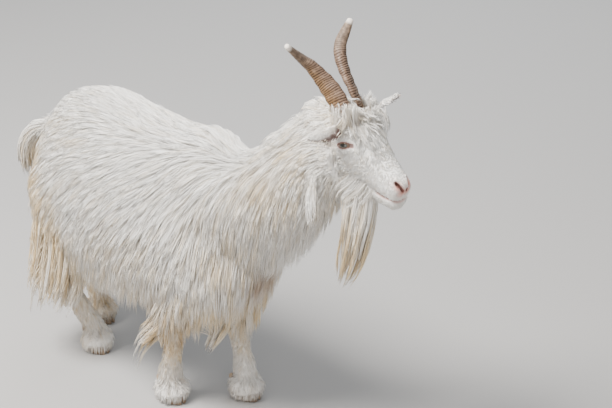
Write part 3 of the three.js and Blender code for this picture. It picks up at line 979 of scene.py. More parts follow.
def grown(tree, roots, normals, height, rise, longest):
    """Hairs grown from roots: each follows the comb over the skin, or falls from it.
    rise says how much it stands up first."""
    _, length, cling = combed(roots)
    length = np.minimum(length, longest * MM)
    here, facing = roots, normals
    rows = [roots - normals * ROOT_DEPTH * MM]
    faces = [normals]
    step = length / GUIDE_STEPS
    for k in range(1, GUIDE_STEPS + 1):
        share = k / GUIDE_STEPS
        way, _, _ = combed(here)
        under = ramp(facing[:, [2]], -0.15, -0.6)
        free = np.clip(1 - cling * (1 - under), 0, 1)
        level = unit(way - dot(way, facing) * facing)
        fall = unit(way * (1 - 0.6 * share) - 0.9 * share * UP)
        way = unit(level * (1 - free) + fall * free)
        stand = rise * (1 - share) ** 2
        way = unit(way * (1 - stand) + facing * stand)
        here = here + way * step
        near, found = nearest(tree, here)
        gap = dot(here - near, found)
        goal = height * min(1.0, 0.25 + 1.5 * share) * np.minimum(1, length / height / 1.3)
        short = goal - gap
        here = here + found * np.where(short > 0, short, 0.7 * short * (1 - free))
        facing = unit(facing * 0.4 + found * 0.6)
        rows.append(here)
        faces.append(facing)
    return np.stack(rows, 1), np.stack(faces, 1), length


# ---- Tufts ----


PATCH = 0.003  # width of a tuft's own patch of the skin's unwrap


def tuft_mesh(name, rings, sides, lifts, width, root_uv, marks):
    """One mesh of closed, pointed, three-sided tufts. rings holds their centre lines."""
    count, row = rings.shape[:2]
    full = row - 1
    centre = rings[:, :full]
    share = np.linspace(0, 1, row)[:full]
    taper = 0.62 + 0.38 * np.sin(np.minimum(share * 2.2, 1) * math.pi / 2) - 0.6 * share**2.2
    half = 0.5 * width[:, None, None] * taper[None, :, None]
    left = centre - sides[:, :full] * half
    right = centre + sides[:, :full] * half
    ridge = centre + lifts[:, :full] * half * 0.9
    around = np.stack([left, right, ridge], 2).reshape(count, full * 3, 3)
    points = np.concatenate([around, rings[:, full:]], 1).reshape(-1, 3)
    faces = []
    for k in range(full - 1):
        for a in range(3):
            b = (a + 1) % 3
            faces.append((3 * k + a, 3 * k + 3 + a, 3 * k + 3 + b))
            faces.append((3 * k + a, 3 * k + 3 + b, 3 * k + b))
    last = 3 * (full - 1)
    tip = 3 * full
    faces += [(last + a, tip, last + (a + 1) % 3) for a in range(3)]
    faces.append((0, 1, 2))
    size = tip + 1
    faces = (np.array(faces)[None] + size * np.arange(count)[:, None, None]).reshape(-1, 3)
    obj = mesh_object(name, points, faces)
    along = np.append(np.repeat(share, 3), 1.0)
    give(obj, "along", np.tile(along, count))
    for mark in ("tone", "shade"):
        give(obj, mark, np.repeat(marks[mark], size))
    cream, stain_and_shadow = markings(points)
    streak = np.repeat(marks["streak"], size)
    cream = np.clip(cream * (0.35 + 1.3 * streak) + 0.30 * streak**4, 0, 1)
    give(obj, "cream", cream)
    give(obj, "stain_and_shadow", stain_and_shadow)
    patch = np.empty((count, size, 2))
    patch[:, :, 0] = np.append(np.tile((0.0, 1.0, 0.5), full), 0.5)
    patch[:, :, 1] = along
    uv = (root_uv[:, None] + PATCH * (patch - 0.5)).reshape(-1, 2)
    layer = obj.data.uv_layers.new(name="OFBake", do_init=False)
    layer.data.foreach_set("uv", uv[faces.ravel()].astype(np.float32).ravel())
    return obj


skin = build_skin()
skin_points = numbers(skin.data.vertices, "co", 3).astype(float)
skin_faces = numbers(skin.data.loops, "vertex_index", 1, np.int32).reshape(-1, 3)
skin_tree = tree_of(skin_points, skin_faces)
skin_normals = outward(skin_points, skin_faces)
mark_skin(skin, skin_points, skin_normals)


def unwrapped(obj):
    """The skin's own unwrap, and its corners' places there."""
    pick(obj)
    obj.data.uv_layers.new(name="OFBake")
    bpy.ops.object.mode_set(mode="EDIT")
    bpy.ops.mesh.select_all(action="SELECT")
    bpy.ops.uv.smart_project(angle_limit=1.15, island_margin=0.0005)
    bpy.ops.object.mode_set(mode="OBJECT")
    return numbers(obj.data.uv_layers["OFBake"].uv, "vector", 2)


skin_uv = unwrapped(skin)

outline_points, outline_faces = fused(
    [merged(node) for node in FLESH + ["horn_left", "horn_right"]], OUTLINE_VOXEL
)
outline_tree = tree_of(outline_points, outline_faces)

# Piece, area of skin for each tuft in mm2, width, rings, how far a lock's tips draw
# together, waviness in mm, how much the hair stands up first, and its greatest length.
COATS = {
    "coat_face": (3.1, 0.9, 2, 0.3, 0.5, 0.15, 60),
    "coat_cheeks": (5.4, 1.05, 3, 0.4, 0.9, 0.12, 60),
    "coat_crown": (8, 1.1, 5, 0.5, 2.0, 0.45, 90),
    "coat_ears": (1.8, 0.8, 2, 0.2, 0.1, 0.03, 5.5),
    "coat_neck": (18, 1.25, 3, 0.45, 1.3, 0.1, 200),
    "coat_back": (12, 1.15, 3, 0.35, 1.2, 0, 200),
    "coat_croup": (12.5, 1.15, 3, 0.35, 1.2, 0, 200),
    "coat_ribs_left": (15, 1.2, 3, 0.45, 1.4, 0, 200),
    "coat_ribs_right": (15, 1.2, 3, 0.45, 1.4, 0, 200),
    "coat_flank_left": (15, 1.2, 3, 0.45, 1.4, 0, 200),
    "coat_flank_right": (15, 1.2, 3, 0.45, 1.4, 0, 200),
    "coat_chest": (19.5, 1.3, 4, 0.55, 1.6, 0, 200),
    "coat_thighs": (50, 1.5, 5, 0.7, 2.6, 0, 200),
    "coat_forelegs": (14, 1.2, 4, 0.55, 1.6, 0, 200),
    "coat_shanks": (10.5, 1.1, 2, 0.3, 0.5, 0.1, 200),
}
COAT_NAMES = list(COATS)


def piece_numbers(places):
    """Which coat piece each place of the skin carries."""
    found = labels(places)
    x, y, z = from_body(places).T
    head = from_head(places)
    left = y > 0
    piece = np.full(len(places), COAT_NAMES.index("coat_chest"))

    def choose(mask, name, other=None):
        piece[mask & left] = COAT_NAMES.index(name)
        piece[mask & ~left] = COAT_NAMES.index(other or name)

    trunk = owned(found, "trunk")
    choose(trunk & (z > 480) & (x > -70), "coat_back")
    choose(trunk & (z > 480) & (x <= -70), "coat_croup")
    choose(trunk & (z <= 480) & (x <= 100) & (x > -90), "coat_ribs_left", "coat_ribs_right")
    choose(trunk & (z <= 480) & (x <= -90), "coat_flank_left", "coat_flank_right")
    choose(owned(found, "upper_leg_hind_left", "upper_leg_hind_right"), "coat_thighs")
    choose(trunk & (x < -230) & (z < 330), "coat_thighs")
    choose(owned(found, "upper_leg_fore_left", "upper_leg_fore_right"), "coat_forelegs")
    choose(owned(found, *[f"lower_leg_{leg}" for leg in LEGS]), "coat_shanks")
    choose(owned(found, "tail"), "coat_croup")
    choose(owned(found, "neck"), "coat_neck")
    choose(owned(found, "neck") & (head[:, 0] > 4) & (head[:, 2] > -108), "coat_cheeks")
    choose(owned(found, "wattle_left", "wattle_right"), "coat_neck")
    is_head = owned(found, "head")
    choose(is_head, "coat_face")
    choose(is_head & (head[:, 0] <= 58), "coat_cheeks")
    choose(is_head & (head[:, 0] <= 96) & (head[:, 2] > -6), "coat_crown")
    ear = owned(found, "ear_left", "ear_right") & (abs(head[:, 1]) > 44)
    choose(ear, "coat_ears")
    return piece


def scattered(weights, total):
    """total random faces, as likely as their weights, and a random place on each."""
    steps = np.cumsum(weights)
    chosen = np.searchsorted(steps, dice.random(total) * steps[-1])
    chosen = np.minimum(chosen, len(weights) - 1)
    a = np.sqrt(dice.random(total))
    b = dice.random(total)
    return chosen, np.stack([1 - a, a * (1 - b), a * b], 1)


def at(values, chosen, share):
    """Values of the skin's points, blended at places on its faces."""
    return (values[skin_faces[chosen]] * share[..., None]).sum(1)


face_piece = piece_numbers(skin_points)[skin_faces[:, 0]]
face_area = areas(skin_points, skin_faces)
uv_corners = skin_uv.reshape(-1, 3, 2)


def in_openings(head, reach, past):
    """True within reach mm of an eye, up to an angle past the edges of its lids."""
    inside = np.zeros(len(head), bool)
    for sign in (1, -1):
        far, edge = beyond_lids(head, sign)
        inside |= (far < reach) & (edge < past)
    return inside


def on_lips(head, gap):
    """True within gap mm of the line of the mouth."""
    over, on = mouth_gap(head)
    return (abs(over) < gap) & (on > 0.5) & (head[:, 0] > 128)


def bare(places):
    """True where the skin has no fur: eye openings, nostrils, nose and lips."""
    head = from_head(places)
    nose = (blobs(mirrored(head), PINK_SPOTS) > 0.5) | (nostril_gap(head) < 6)
    return nose | on_lips(head, 2.0) | in_openings(head, 22, 0.16)


def before_eyes(places):
    """True where hair would hang in front of an open eye."""
    return in_openings(from_head(places), 27, 0.06)


def horn_form(sign):
    """A horn without its ridges."""
    keel = HORN_KEEL * (1, sign, 1)
    points, faces = loft(sided(HORN_ROWS, sign), 40, 24, keel, HORN_CAPS, HORN_CAP_RINGS)
    return on_head(points), faces


horn_tree = tree_of(*stacked([horn_form(1), horn_form(-1)]))


def in_horns(places):
    """True inside a horn, where no hair lies."""
    inside = np.zeros(len(places), bool)
    close = np.flatnonzero(from_head(places)[:, 2] > 0)
    near, facing = nearest(horn_tree, places[close])
    inside[close] = dot(places[close] - near, facing)[:, 0] < -0.5 * MM
    return inside


def over_lips(places):
    """True where hair would cross the line of the mouth."""
    return on_lips(from_head(places), 0.9)


def turned(vectors, axis, angle):
    cosine, sine = np.cos(angle)[:, None, None], np.sin(angle)[:, None, None]
    return vectors * cosine + np.cross(axis, vectors) * sine


def directions(path, normal):
    """Along, across and out of tufts, at each of their rings."""
    tangent = unit(np.gradient(path, axis=1))
    side = unit(np.cross(tangent, normal))
    return tangent, side, unit(np.cross(side, tangent))


def tilted(path, normal, spread):
    """Across and out of tufts, each turned by chance about its own line."""
    tangent, side, lifts = directions(path, normal)
    tilt = dice.normal(0, spread, len(path))
    return turned(side, tangent, tilt), turned(lifts, tangent, tilt)


def sampled(rows, where):
    """Each tuft's rows at places between them; where is counted in rows."""
    low = np.minimum(where.astype(int), rows.shape[1] - 2)
    part = (where - low)[..., None]
    each = np.arange(len(where))[:, None]
    return rows[each, low] * (1 - part) + rows[each, low + 1] * part


def clear_of(path, *tests):
    """Which tufts have no point where a test says that hair can't be."""
    flat = path.reshape(-1, 3)
    hidden = np.any([test(flat) for test in tests], axis=0)
    return ~hidden.reshape(len(path), -1).any(1)


DEEPEST_FUR = 34 * MM
SHANK_FUR = 2.6 * MM
FOOT_FUR = 4.6 * MM
FOOT_TOP = 50 * MM
FLOOR_GAP = 1.2 * MM
FEWEST_GUIDES = 60
TUFTS_PER_GUIDE = 6
HEAD_COATS = ("coat_face", "coat_cheeks", "coat_crown")


def guides(name, weights, count):
    """A few hairs grown in full, which the tufts round them follow."""
    _, width, _, _, _, rise, longest = COATS[name]
    chosen, share = scattered(weights, count)
    roots = at(skin_points, chosen, share)
    normals = unit(at(skin_normals, chosen, share))
    outer, _ = nearest(outline_tree, roots)
    deep = np.linalg.norm(outer - roots, axis=1, keepdims=True)
    level = dice.uniform(0.7, 1.0, (count, 1))
    least = width * MM * 1.1
    if name == "coat_shanks":
        least = np.where(roots[:, [2]] < FOOT_TOP, FOOT_FUR, SHANK_FUR)
    height = np.maximum(np.minimum(deep, DEEPEST_FUR) * level, least)
    return roots, *grown(skin_tree, roots, normals, height, rise, longest)


def strayed(path, normal, along, length, wave):
    """Tufts that sway, and a few that leave the lie of the coat."""
    each = (len(path), 1, 1)
    _, side, _ = directions(path, normal)
    size = length[:, None] / (90 * MM)
    swing = np.sin(along * dice.uniform(3, 7, each) + dice.uniform(0, 6.3, each))
    stray = np.where(dice.random(each) < 0.05, 3.0, 1.0)
    path = path + side * swing * wave * MM * along * stray * np.minimum(1, size * 1.5)
    lift = dice.normal(0, 0.8, each) * stray * np.minimum(1, size)
    return path + normal * lift * MM * along


def coat_piece(name, number):
    """One piece of the coat: tufts all over its part of the skin."""
    area, width, rings, draw, wave, _, _ = COATS[name]
    weights = np.where(face_piece == number, face_area, 0)
    chosen, share = scattered(weights, int(weights.sum() / area))
    roots = at(skin_points, chosen, share)
    keep = ~bare(roots)
    chosen, share, roots = chosen[keep], share[keep], roots[keep]
    normals = unit(at(skin_normals, chosen, share))
    root_uv = (uv_corners[chosen] * share[..., None]).sum(1)
    lead_count = max(FEWEST_GUIDES, len(roots) // TUFTS_PER_GUIDE)
    leads, lines, facings, lengths = guides(name, weights, lead_count)
    guide = nearest_point(point_tree(leads), roots)
    count = len(roots)
    reach = dice.uniform(0.72, 1.0, count) * (1 - 0.25 * dice.random(lead_count)[guide])
    where = np.linspace(0, 1, rings + 1)[None] * reach[:, None] * GUIDE_STEPS
    path = sampled(lines[guide], where)
    normal = unit(sampled(facings[guide], where))
    along = np.linspace(0, 1, rings + 1)[None, :, None]
    pull = draw * dice.uniform(0.6, 1.0, (count, 1, 1))
    path = path + (roots - leads[guide])[:, None] * (1 - pull * along**1.1)
    path = strayed(path, normal, along, lengths[guide], wave)
    path[..., 2] = np.maximum(path[..., 2], FLOOR_GAP)
    if name in HEAD_COATS:
        clear = clear_of(path, before_eyes, over_lips, in_horns)
        path, normal, root_uv, guide = path[clear], normal[clear], root_uv[clear], guide[clear]
    side, lifts = tilted(path, normal, 0.5)
    count = len(path)
    streak = np.clip(dice.random(lead_count)[guide] + dice.normal(0, 0.18, count), 0, 1)
    shade = np.zeros(count)
    # painted shade over the darker inner skin of the ear hollows
    if name == "coat_ears":
        shade = np.maximum(ear_shade(roots), points_in_ears(from_head(roots), normals))
    marks = {"streak": streak, "tone": dice.random(count), "shade": shade}
    widths = width * MM * dice.uniform(0.7, 1.25, count)
    return tuft_mesh(name, path, side, lifts, widths, root_uv, marks)


# ---- Long locks ----

vertex_uv = np.zeros((len(skin_points), 2))
vertex_uv[skin_faces.ravel()] = skin_uv
skin_spots = point_tree(skin_points)
LOCK_ROOT = 1.5 * MM  # how deep the roots of long hair stand in the skin
LOCK_STEPS = 40


def root_patches(path):
    """Where tufts stand on the skin's unwrap."""
    return vertex_uv[nearest_point(skin_spots, path[:, 0])]


def on_disc(count, hollow):
    """Random places on a disc, or on a ring where it is hollow."""
    return np.sqrt(dice.uniform(hollow, 1, (count, 1))) * unit(dice.normal(size=(count, 2)))


def rooted(path, along):
    """Tufts with their roots pulled onto the skin."""
    near, facing = nearest(skin_tree, path[:, 0])
    under = near - LOCK_ROOT * facing - path[:, 0]
    under = under * (dot(path[:, 0] - near, facing) > -LOCK_ROOT)
    return path + under[:, None] * np.clip(1 - along / 0.4, 0, 1) ** 1.5


def bundle(rings, rows, count, groups, start, draw, width, wave, hollow, least):
    """The tufts of one bundle, drawn together in its locks."""
    table = spline(rows, LOCK_STEPS + 1)
    disc = on_disc(count, hollow)
    heads = on_disc(groups, hollow)
    group = ((disc[:, None] - heads[None]) ** 2).sum(2).argmin(1)
    begin = dice.uniform(0, start, count)
    end = dice.uniform(least, 1.0, groups)[group] * dice.uniform(0.86, 1.0, count)
    end = np.maximum(end, begin + 0.2)
    along = np.linspace(0, 1, rings + 1)[None, :, None]
    where = (begin[:, None] + along[..., 0] * (end - begin)[:, None]) * LOCK_STEPS
    row = sampled(np.broadcast_to(table, (count, *table.shape)), where)
    gather = draw * along**0.8
    flat = disc[:, None] * (1 - gather) + heads[group][:, None] * gather
    centre = row[..., :3]
    tangent = unit(np.gradient(centre, axis=1))
    across = np.broadcast_to((0.0, 1.0, 0.0), tangent.shape)
    ahead = unit(np.cross(across, tangent))
    turn = dice.uniform(0, 6.3, groups)[group][:, None, None]
    speed = dice.uniform(5, 9, groups)[group][:, None, None]
    own = dice.normal(0, 0.35, (count, 1, 1))
    sway = np.sin(along * speed + turn + own) * wave * along
    nod = np.cos(along * speed * 0.8 + turn) * wave * 0.7 * along
    path = centre + ahead * (flat[..., [0]] * row[..., [3]] + nod)
    path = on_body(path + across * (flat[..., [1]] * row[..., [4]] + sway))
    path = rooted(path, along)
    path[..., 2] = np.maximum(path[..., 2], FLOOR_GAP)
    normal = unit(ahead * disc[:, None, [0]] + across * disc[:, None, [1]] + 0.01)
    clear = clear_of(path, before_eyes, in_horns)
    path, normal, group = path[clear], normal[clear], group[clear]
    side, lifts = tilted(path, normal, 0.6)
    count = len(path)
    streak = np.clip(dice.random(groups)[group] + dice.normal(0, 0.2, count), 0, 1)
    widths = width * MM * dice.uniform(0.7, 1.25, count)
    return path, side, lifts, widths, root_patches(path), streak, dice.random(count)


def locks(name, bundles, rings=7):
    """One piece of long hair. A bundle is rows of centre and half widths ahead and
    across, then how many tufts and locks it has, how far down they may start, how much
    a lock draws together, its width and waviness in mm, how hollow the bundle is, and
    the least length of a lock."""
    gathered = [bundle(rings, *each) for each in bundles]
    path, side, lifts, widths, uv, streak, tone = [np.concatenate(g) for g in zip(*gathered)]
    marks = {"streak": streak, "tone": tone, "shade": 0 * tone}
    return tuft_mesh(name, path, side, lifts, widths, uv, marks)


BEARD = [
    (488, 20, 592, 28, 20),
    (487, 16, 556, 33, 25),
    (485, 14, 515, 34, 27),
    (478, 14, 470, 30, 25),
    (469, 14, 428, 27, 22),
    (457, 14, 388, 20, 16),
    (441, 13, 354, 9, 8),
]
WATTLE = [  # left
    (415, 36, 586, 8, 9),
    (421, 42, 562, 8, 8),
    (428, 49, 536, 12, 11),
    (433, 53, 512, 12, 11),
    (435, 54, 498, 7, 7),
]
TAIL = [
    (-340, 0, 476, 12, 18),
    (-384, 0, 456, 17, 26),
    (-414, 0, 420, 20, 29),
    (-424, 0, 374, 20, 27),
    (-415, 0, 328, 14, 18),
]


def elbow_rows(name):
    """The feather of long hair down the back of a forearm."""
    x, y, _ = LEGS[name]["joint"]
    side = np.sign(y)
    return [
        (x + 32, y + side * 2, 250, 27, 20),
        (x + 2, y + side * 9, 212, 30, 20),
        (x - 34, y + side * 16, 172, 27, 16),
        (x - 74, y + side * 20, 122, 21, 12),
        (x - 110, y + side * 17, 44, 11, 8),
    ]


def foot_rows(name):
    """The shaggy hair that spreads from the pastern over the claws."""
    x, y = LEGS[name]["foot"]
    return [
        (x - 10, y, 104, 13, 13),
        (x - 6, y, 66, 19, 19),
        (x, y, 38, 27, 25),
        (x + 5, y, 9, 32, 29),
    ]


def headed(rows):
    """Rows of a bundle from the head's frame to the body's."""
    return [(*from_body(on_head(row[:3])), *row[3:]) for row in rows]


# Tufts that stand up: beside the left horn, before each horn and between them.
CREST = headed([(24, 36, 2, 12, 14), (18, 36, 22, 15, 15), (12, 37, 43, 15, 17)])
HORN_FRINGES = [
    headed([(54, 21, 2, 10, 22), (46, 21, 24, 9, 22), (36, 22, 39, 7, 20)]),
    headed([(54, -21, 2, 10, 22), (45, -21, 27, 10, 23), (33, -20, 46, 9, 21), (22, -20, 59, 7, 17)]),
]
HORN_SIDE_FRINGES = [
    headed([(26, 32, 2, 13, 6), (20, 35, 18, 14, 6), (12, 36, 33, 13, 5)]),
    headed([(26, -32, 2, 13, 6), (18, -35, 24, 14, 6), (5, -36, 46, 12, 5)]),
]
PARTING = headed([(42, -3, 10, 10, 11), (36, -4, 26, 9, 11), (29, -5, 39, 7, 10)])

# Locks that fall from the crown: over the forehead, the left brow and the right brow.
FORELOCKS = [
    headed(
        [
            (28, 0, 8, 12, 20),
            (42, 1, 21, 10, 25),
            (62, 1, 18, 6, 29),
            (86, 2, 7, 4.5, 28),
            (112, 3, -3, 3, 20),
        ]
    ),
    headed([(28, 24, 8, 12, 12), (44, 35, 20, 11, 13), (62, 42, 10, 8, 13), (80, 38, -9, 6, 12)]),
    headed([(28, -20, 8, 12, 11), (44, -25, 21, 10, 11), (60, -27, 14, 7, 11), (76, -26, 4, 4, 9)]),
]

# White hair round the top of the beard.
JAW = [(502, 20, 594, 34, 22), (488, 18, 572, 42, 30), (466, 16, 549, 42, 32), (448, 14, 526, 30, 24)]

# Long hairs that hang from the breastbone.
WISPS = [(168, -8, 215, 24, 28), (140, -12, 158, 18, 20), (104, -16, 84, 9, 10)]


def thigh_rows(name):
    """The long hair down the back and side of a hind leg."""
    x, y, _ = LEGS[name]["joint"]
    top = LEGS[name]["top"][1]
    side = np.sign(y)
    return [
        (x + 16, top + side * 4, 420, 58, 30),
        (x + 26, top + side * 10, 330, 68, 42),
        (x + 24, top + side * 14, 240, 74, 46),
        (x + 6, top + side * 15, 158, 70, 46),
        (x - 24, top + side * 15, 70, 50, 36),
    ]


LASH_LENGTH = 8.0
LASH_WIDTH = 0.55
LASH_STEPS = 3


def eyelashes():
    """White hairs along both lids, curving out and up or down from their edges."""
    gathered = []
    for sign in (1, -1):
        ahead, up, out = eye_axes(sign)
        over = dice.uniform(math.radians(15), math.radians(165), 70)
        turn = np.concatenate([over, -dice.uniform(math.radians(20), math.radians(160), 40)])
        flat = np.cos(turn)[:, None] * ahead + np.sin(turn)[:, None] * up
        edge = (lid_opening(turn) + dice.uniform(0.03, 0.12, len(turn)))[:, None]
        ray = np.cos(edge) * out + np.sin(edge) * flat
        start = EYE_PLACE * (1, sign, 1) + ray * (EYE_RADIUS + 0.8)
        long = LASH_LENGTH * dice.uniform(0.6, 1.0, (len(turn), 1, 1))
        share = np.linspace(0, 1, LASH_STEPS + 1)[None, :, None]
        bend = unit(out * 0.55 + flat * 0.45)[:, None] * share + flat[:, None] * 0.5 * share**2
        path = on_head(start[:, None] + bend * long)
        normal = np.broadcast_to(HEAD_TURN @ out, path.shape)
        _, side, lifts = directions(path, normal)
        gathered.append((path, side, lifts))
    path, side, lifts = [np.concatenate(g) for g in zip(*gathered)]
    none = np.zeros(len(path))
    marks = {"streak": none, "tone": dice.random(len(path)), "shade": none}
    widths = np.full(len(path), LASH_WIDTH * MM)
    return tuft_mesh("coat_lashes", path, side, lifts, widths, root_patches(path), marks)


# ---- Horns, eyes and claws ----

HORN_RINGS = 200
HORN_SIDES = 32
RIDGE_STEP = 4.2  # mm from ridge to ridge


def horn(sign):
    """The sheath of a horn, with its ridges."""
    rows = sided(HORN_ROWS, sign)
    keel = HORN_KEEL * (1, sign, 1)
    cap_rings = HORN_CAP_RINGS
    points, faces = loft(rows, HORN_RINGS, HORN_SIDES, keel, HORN_CAPS, cap_rings)
    centres = spline(rows, HORN_RINGS)[:, :3]
    steps = np.linalg.norm(np.diff(centres, axis=0), axis=1)
    run = np.concatenate([np.zeros(cap_rings + 1), np.cumsum(steps), np.full(cap_rings, steps.sum())])
    run = np.append(np.repeat(run, HORN_SIDES), [0, steps.sum()])
    turn = np.append(np.tile(np.arange(HORN_SIDES), HORN_RINGS + 2 * cap_rings), [0, 0])
    turn = turn * 2 * math.pi / HORN_SIDES
    share = run / run.max()
    keel = np.sin(turn)
    phase = run + 2.2 * keel + 0.8 * np.sin(2 * turn + run / 21) + 1.5 * np.sin(run / 13)
    phase = phase + 0.5 * np.sin(3 * turn + run / 5.3)
    wave = phase / RIDGE_STEP % 1
    ridge = np.sin(math.pi * wave) ** 0.6
    coarse = np.sin(2 * math.pi * (run + 3 * keel) / 19)
    fade = ramp(share, 0.9, 0.45)
    level = (1.1 * (ridge - 0.6) + 0.45 * coarse) * fade
    level = level + 0.12 * np.sin(5 * turn + run / 9) * ramp(share, 1, 0.8)
    points = on_head(points)
    points = points + outward(points, faces) * level[:, None] * MM
    obj = mesh_object("horn_left_sheath" if sign > 0 else "horn_right_sheath", points, faces)
    give(obj, "share", share)
    give(obj, "ridge", ridge * fade + (1 - fade) * 0.6)
    give(obj, "keel", keel)
    return obj


CORNEA = math.radians(33)


def eyeball(sign):
    """A ball with its clear bulge in front, and its place in the eye's own frame."""
    rings, sides = 56, 64
    angle = np.linspace(0.01, math.pi - 0.01, rings)
    turn = np.arange(sides) * 2 * math.pi / sides
    ahead, up, out = eye_axes(sign)
    flat = np.cos(turn)[:, None] * ahead + np.sin(turn)[:, None] * up
    ray = np.cos(angle)[:, None, None] * out + np.sin(angle)[:, None, None] * flat[None]
    bulge = 1.0 * np.clip(1 - (angle / CORNEA) ** 2, 0, 1)
    radius = EYE_RADIUS - 0.4 + bulge
    points = EYE_PLACE * (1, sign, 1) + ray * radius[:, None, None]
    points = np.vstack([points.reshape(-1, 3), points[0].mean(0), points[-1].mean(0)])
    points = on_head(points)
    faces = tube_faces(rings, sides)
    if dot(outward(points, faces), points - points.mean(0)).mean() < 0:
        faces = faces[:, ::-1]
    obj = mesh_object("eyeball_left" if sign > 0 else "eyeball_right", points, faces)
    place = from_head(points) - EYE_PLACE * (1, sign, 1)
    for name, way in (("ahead", ahead), ("above", up), ("front", out)):
        give(obj, name, place @ way / EYE_RADIUS)
    return obj


CLAW_NODES = {
    leg: [f"{kind}_{leg}_{side}" for kind in ("claw", "dewclaw") for side in ("inner", "outer")]
    for leg in LEGS
}


def hooves(leg):
    """The claws and dewclaws of a foot, rounded, with the rings of their growth."""
    parts = []
    for node in CLAW_NODES[leg]:
        points, faces = fused([merged(node)], 1.7)
        centre = points.mean(0)
        low = points[:, 2].min()
        points = relaxed(points, faces, 3)
        height = (points[:, [2]] - low) / MM
        slope = (points[:, [0]] - centre[0]) / MM
        ring = np.sin((height + 0.30 * slope) * 2 * math.pi / 4.4)
        points = points + outward(points, faces) * 0.28 * ring * MM * ramp(height, 1, 4)
        points[:, 2] = np.maximum(points[:, 2], 0)
        parts.append((points, faces))
    obj = mesh_object(f"hooves_{leg}", *stacked(parts))
    height = (numbers(obj.data.vertices, "co", 3)[:, 2]) / MM
    give(obj, "height", height / 30)
    return obj


# ---- Materials ----


class Value:
    """A shader's socket in sums: each sum adds its Math node."""

    def __init__(self, shader, socket):
        self.shader = shader
        self.socket = socket

    def sum(self, operation, first, second=0.0):
        return self.shader.node("ShaderNodeMath", {"operation": operation}, {0: first, 1: second})

    def __add__(self, other):
        return self.sum("ADD", self, other)

    def __radd__(self, other):
        return self.sum("ADD", other, self)

    def __sub__(self, other):
        return self.sum("SUBTRACT", self, other)

    def __rsub__(self, other):
        return self.sum("SUBTRACT", other, self)

    def __mul__(self, other):
        return self.sum("MULTIPLY", self, other)

    def __rmul__(self, other):
        return self.sum("MULTIPLY", other, self)

    def __pow__(self, other):
        return self.sum("POWER", self, other)

    def __abs__(self):
        return self.sum("ABSOLUTE", self)


class Shader:
    """A material whose nodes feed one Principled surface."""

    def __init__(self, name, **constants):
        self.material = bpy.data.materials.new(name)
        self.material.use_nodes = True
        self.nodes = self.material.node_tree.nodes
        self.links = self.material.node_tree.links
        self.surface = self.nodes["Principled BSDF"]
        for socket, value in constants.items():
            self.feed(socket.replace("_", " "), value)

    def node(self, kind, settings, sockets, output=0):
        """Any node: its settings, what its sockets take, and which output is used."""
        node = self.nodes.new(kind)
        for name, value in settings.items():
            setattr(node, name, value)
        for name, value in sockets.items():
            self.join(node.inputs[name], value)
        return Value(self, node.outputs[output])

    def join(self, socket, value):
        if isinstance(value, Value):
            self.links.new(value.socket, socket)
        elif isinstance(value, tuple) and len(value) == 3 and socket.type == "RGBA":
            socket.default_value = (*value, 1)
        else:
            socket.default_value = value

    def feed(self, name, value):
        self.join(self.surface.inputs[name], value)

    def number(self, name):
        return self.node("ShaderNodeAttribute", {"attribute_name": name}, {}, 2)

    def place(self):
        return self.node("ShaderNodeTexCoord", {}, {}, 3)

    def noise(self, scale, detail=2.0, where=None, stretch=None):
        where = where or self.place()
        if stretch:
            where = self.node("ShaderNodeMapping", {}, {0: where, 3: stretch})
        return self.node("ShaderNodeTexNoise", {}, {"Vector": where, "Scale": scale, "Detail": detail})

    def blend(self, share, first, second, kind="MIX"):
        settings = {"data_type": "RGBA", "blend_type": kind, "clamp_factor": True}
        return self.node("ShaderNodeMix", settings, {0: share, 6: first, 7: second}, 2)

    def step(self, value, start, end):
        sockets = {0: value, 1: start, 2: end}
        return self.node("ShaderNodeMapRange", {"interpolation_type": "SMOOTHSTEP"}, sockets)

    def bump(self, height, strength, distance):
        sockets = {"Height": height, "Strength": strength, "Distance": distance}
        self.feed("Normal", self.node("ShaderNodeBump", {}, sockets))


WHITE = (0.90, 0.89, 0.865)
CREAM = (0.80, 0.63, 0.38)
STAIN_AND_SHADOW_BROWN = (0.33, 0.18, 0.075)
EAR_SKIN_AND_SHADE = (0.20, 0.135, 0.12)
SHADE_AND_TONE = (0.60, 0.565, 0.52)
PINK = (0.60, 0.29, 0.23)
FLUSH = (0.50, 0.18, 0.14)
DARK = (0.085, 0.026, 0.02)
HORN_TANS = (0.12, 0.058, 0.022), (0.27, 0.155, 0.062)
HORN_GREYS = (0.115, 0.069, 0.045), (0.235, 0.15, 0.10)
HORN_PALE = (0.44, 0.33, 0.24)
HORN_GROOVE_SHADE = (0.035, 0.018, 0.010)
HORN_STREAK = (0.25, 0.16, 0.10)
HORN_TIP = (0.68, 0.62, 0.55)
IRIS = (0.09, 0.05, 0.032), (0.21, 0.13, 0.085)
IRIS_EDGE = (0.07, 0.045, 0.03)
PUPIL = (0.022, 0.022, 0.014)
EYE_CORNER = (0.22, 0.12, 0.09), (0.15, 0.06, 0.045)
CLAW_HORN = (0.19, 0.13, 0.085), (0.40, 0.29, 0.19)
CLAW_TOP = (0.45, 0.35, 0.26)
CLAW_SOLE = (0.10, 0.075, 0.055)


def coat_colours(shader):
    colour = shader.blend(shader.number("cream"), WHITE, CREAM)
    # brown stains, and a painted shadow under the right ear
    colour = shader.blend(shader.number("stain_and_shadow"), colour, STAIN_AND_SHADOW_BROWN)
    # painted shade over the darker inner skin of the ear hollows
    return shader.blend(shader.number("shade"), colour, EAR_SKIN_AND_SHADE)


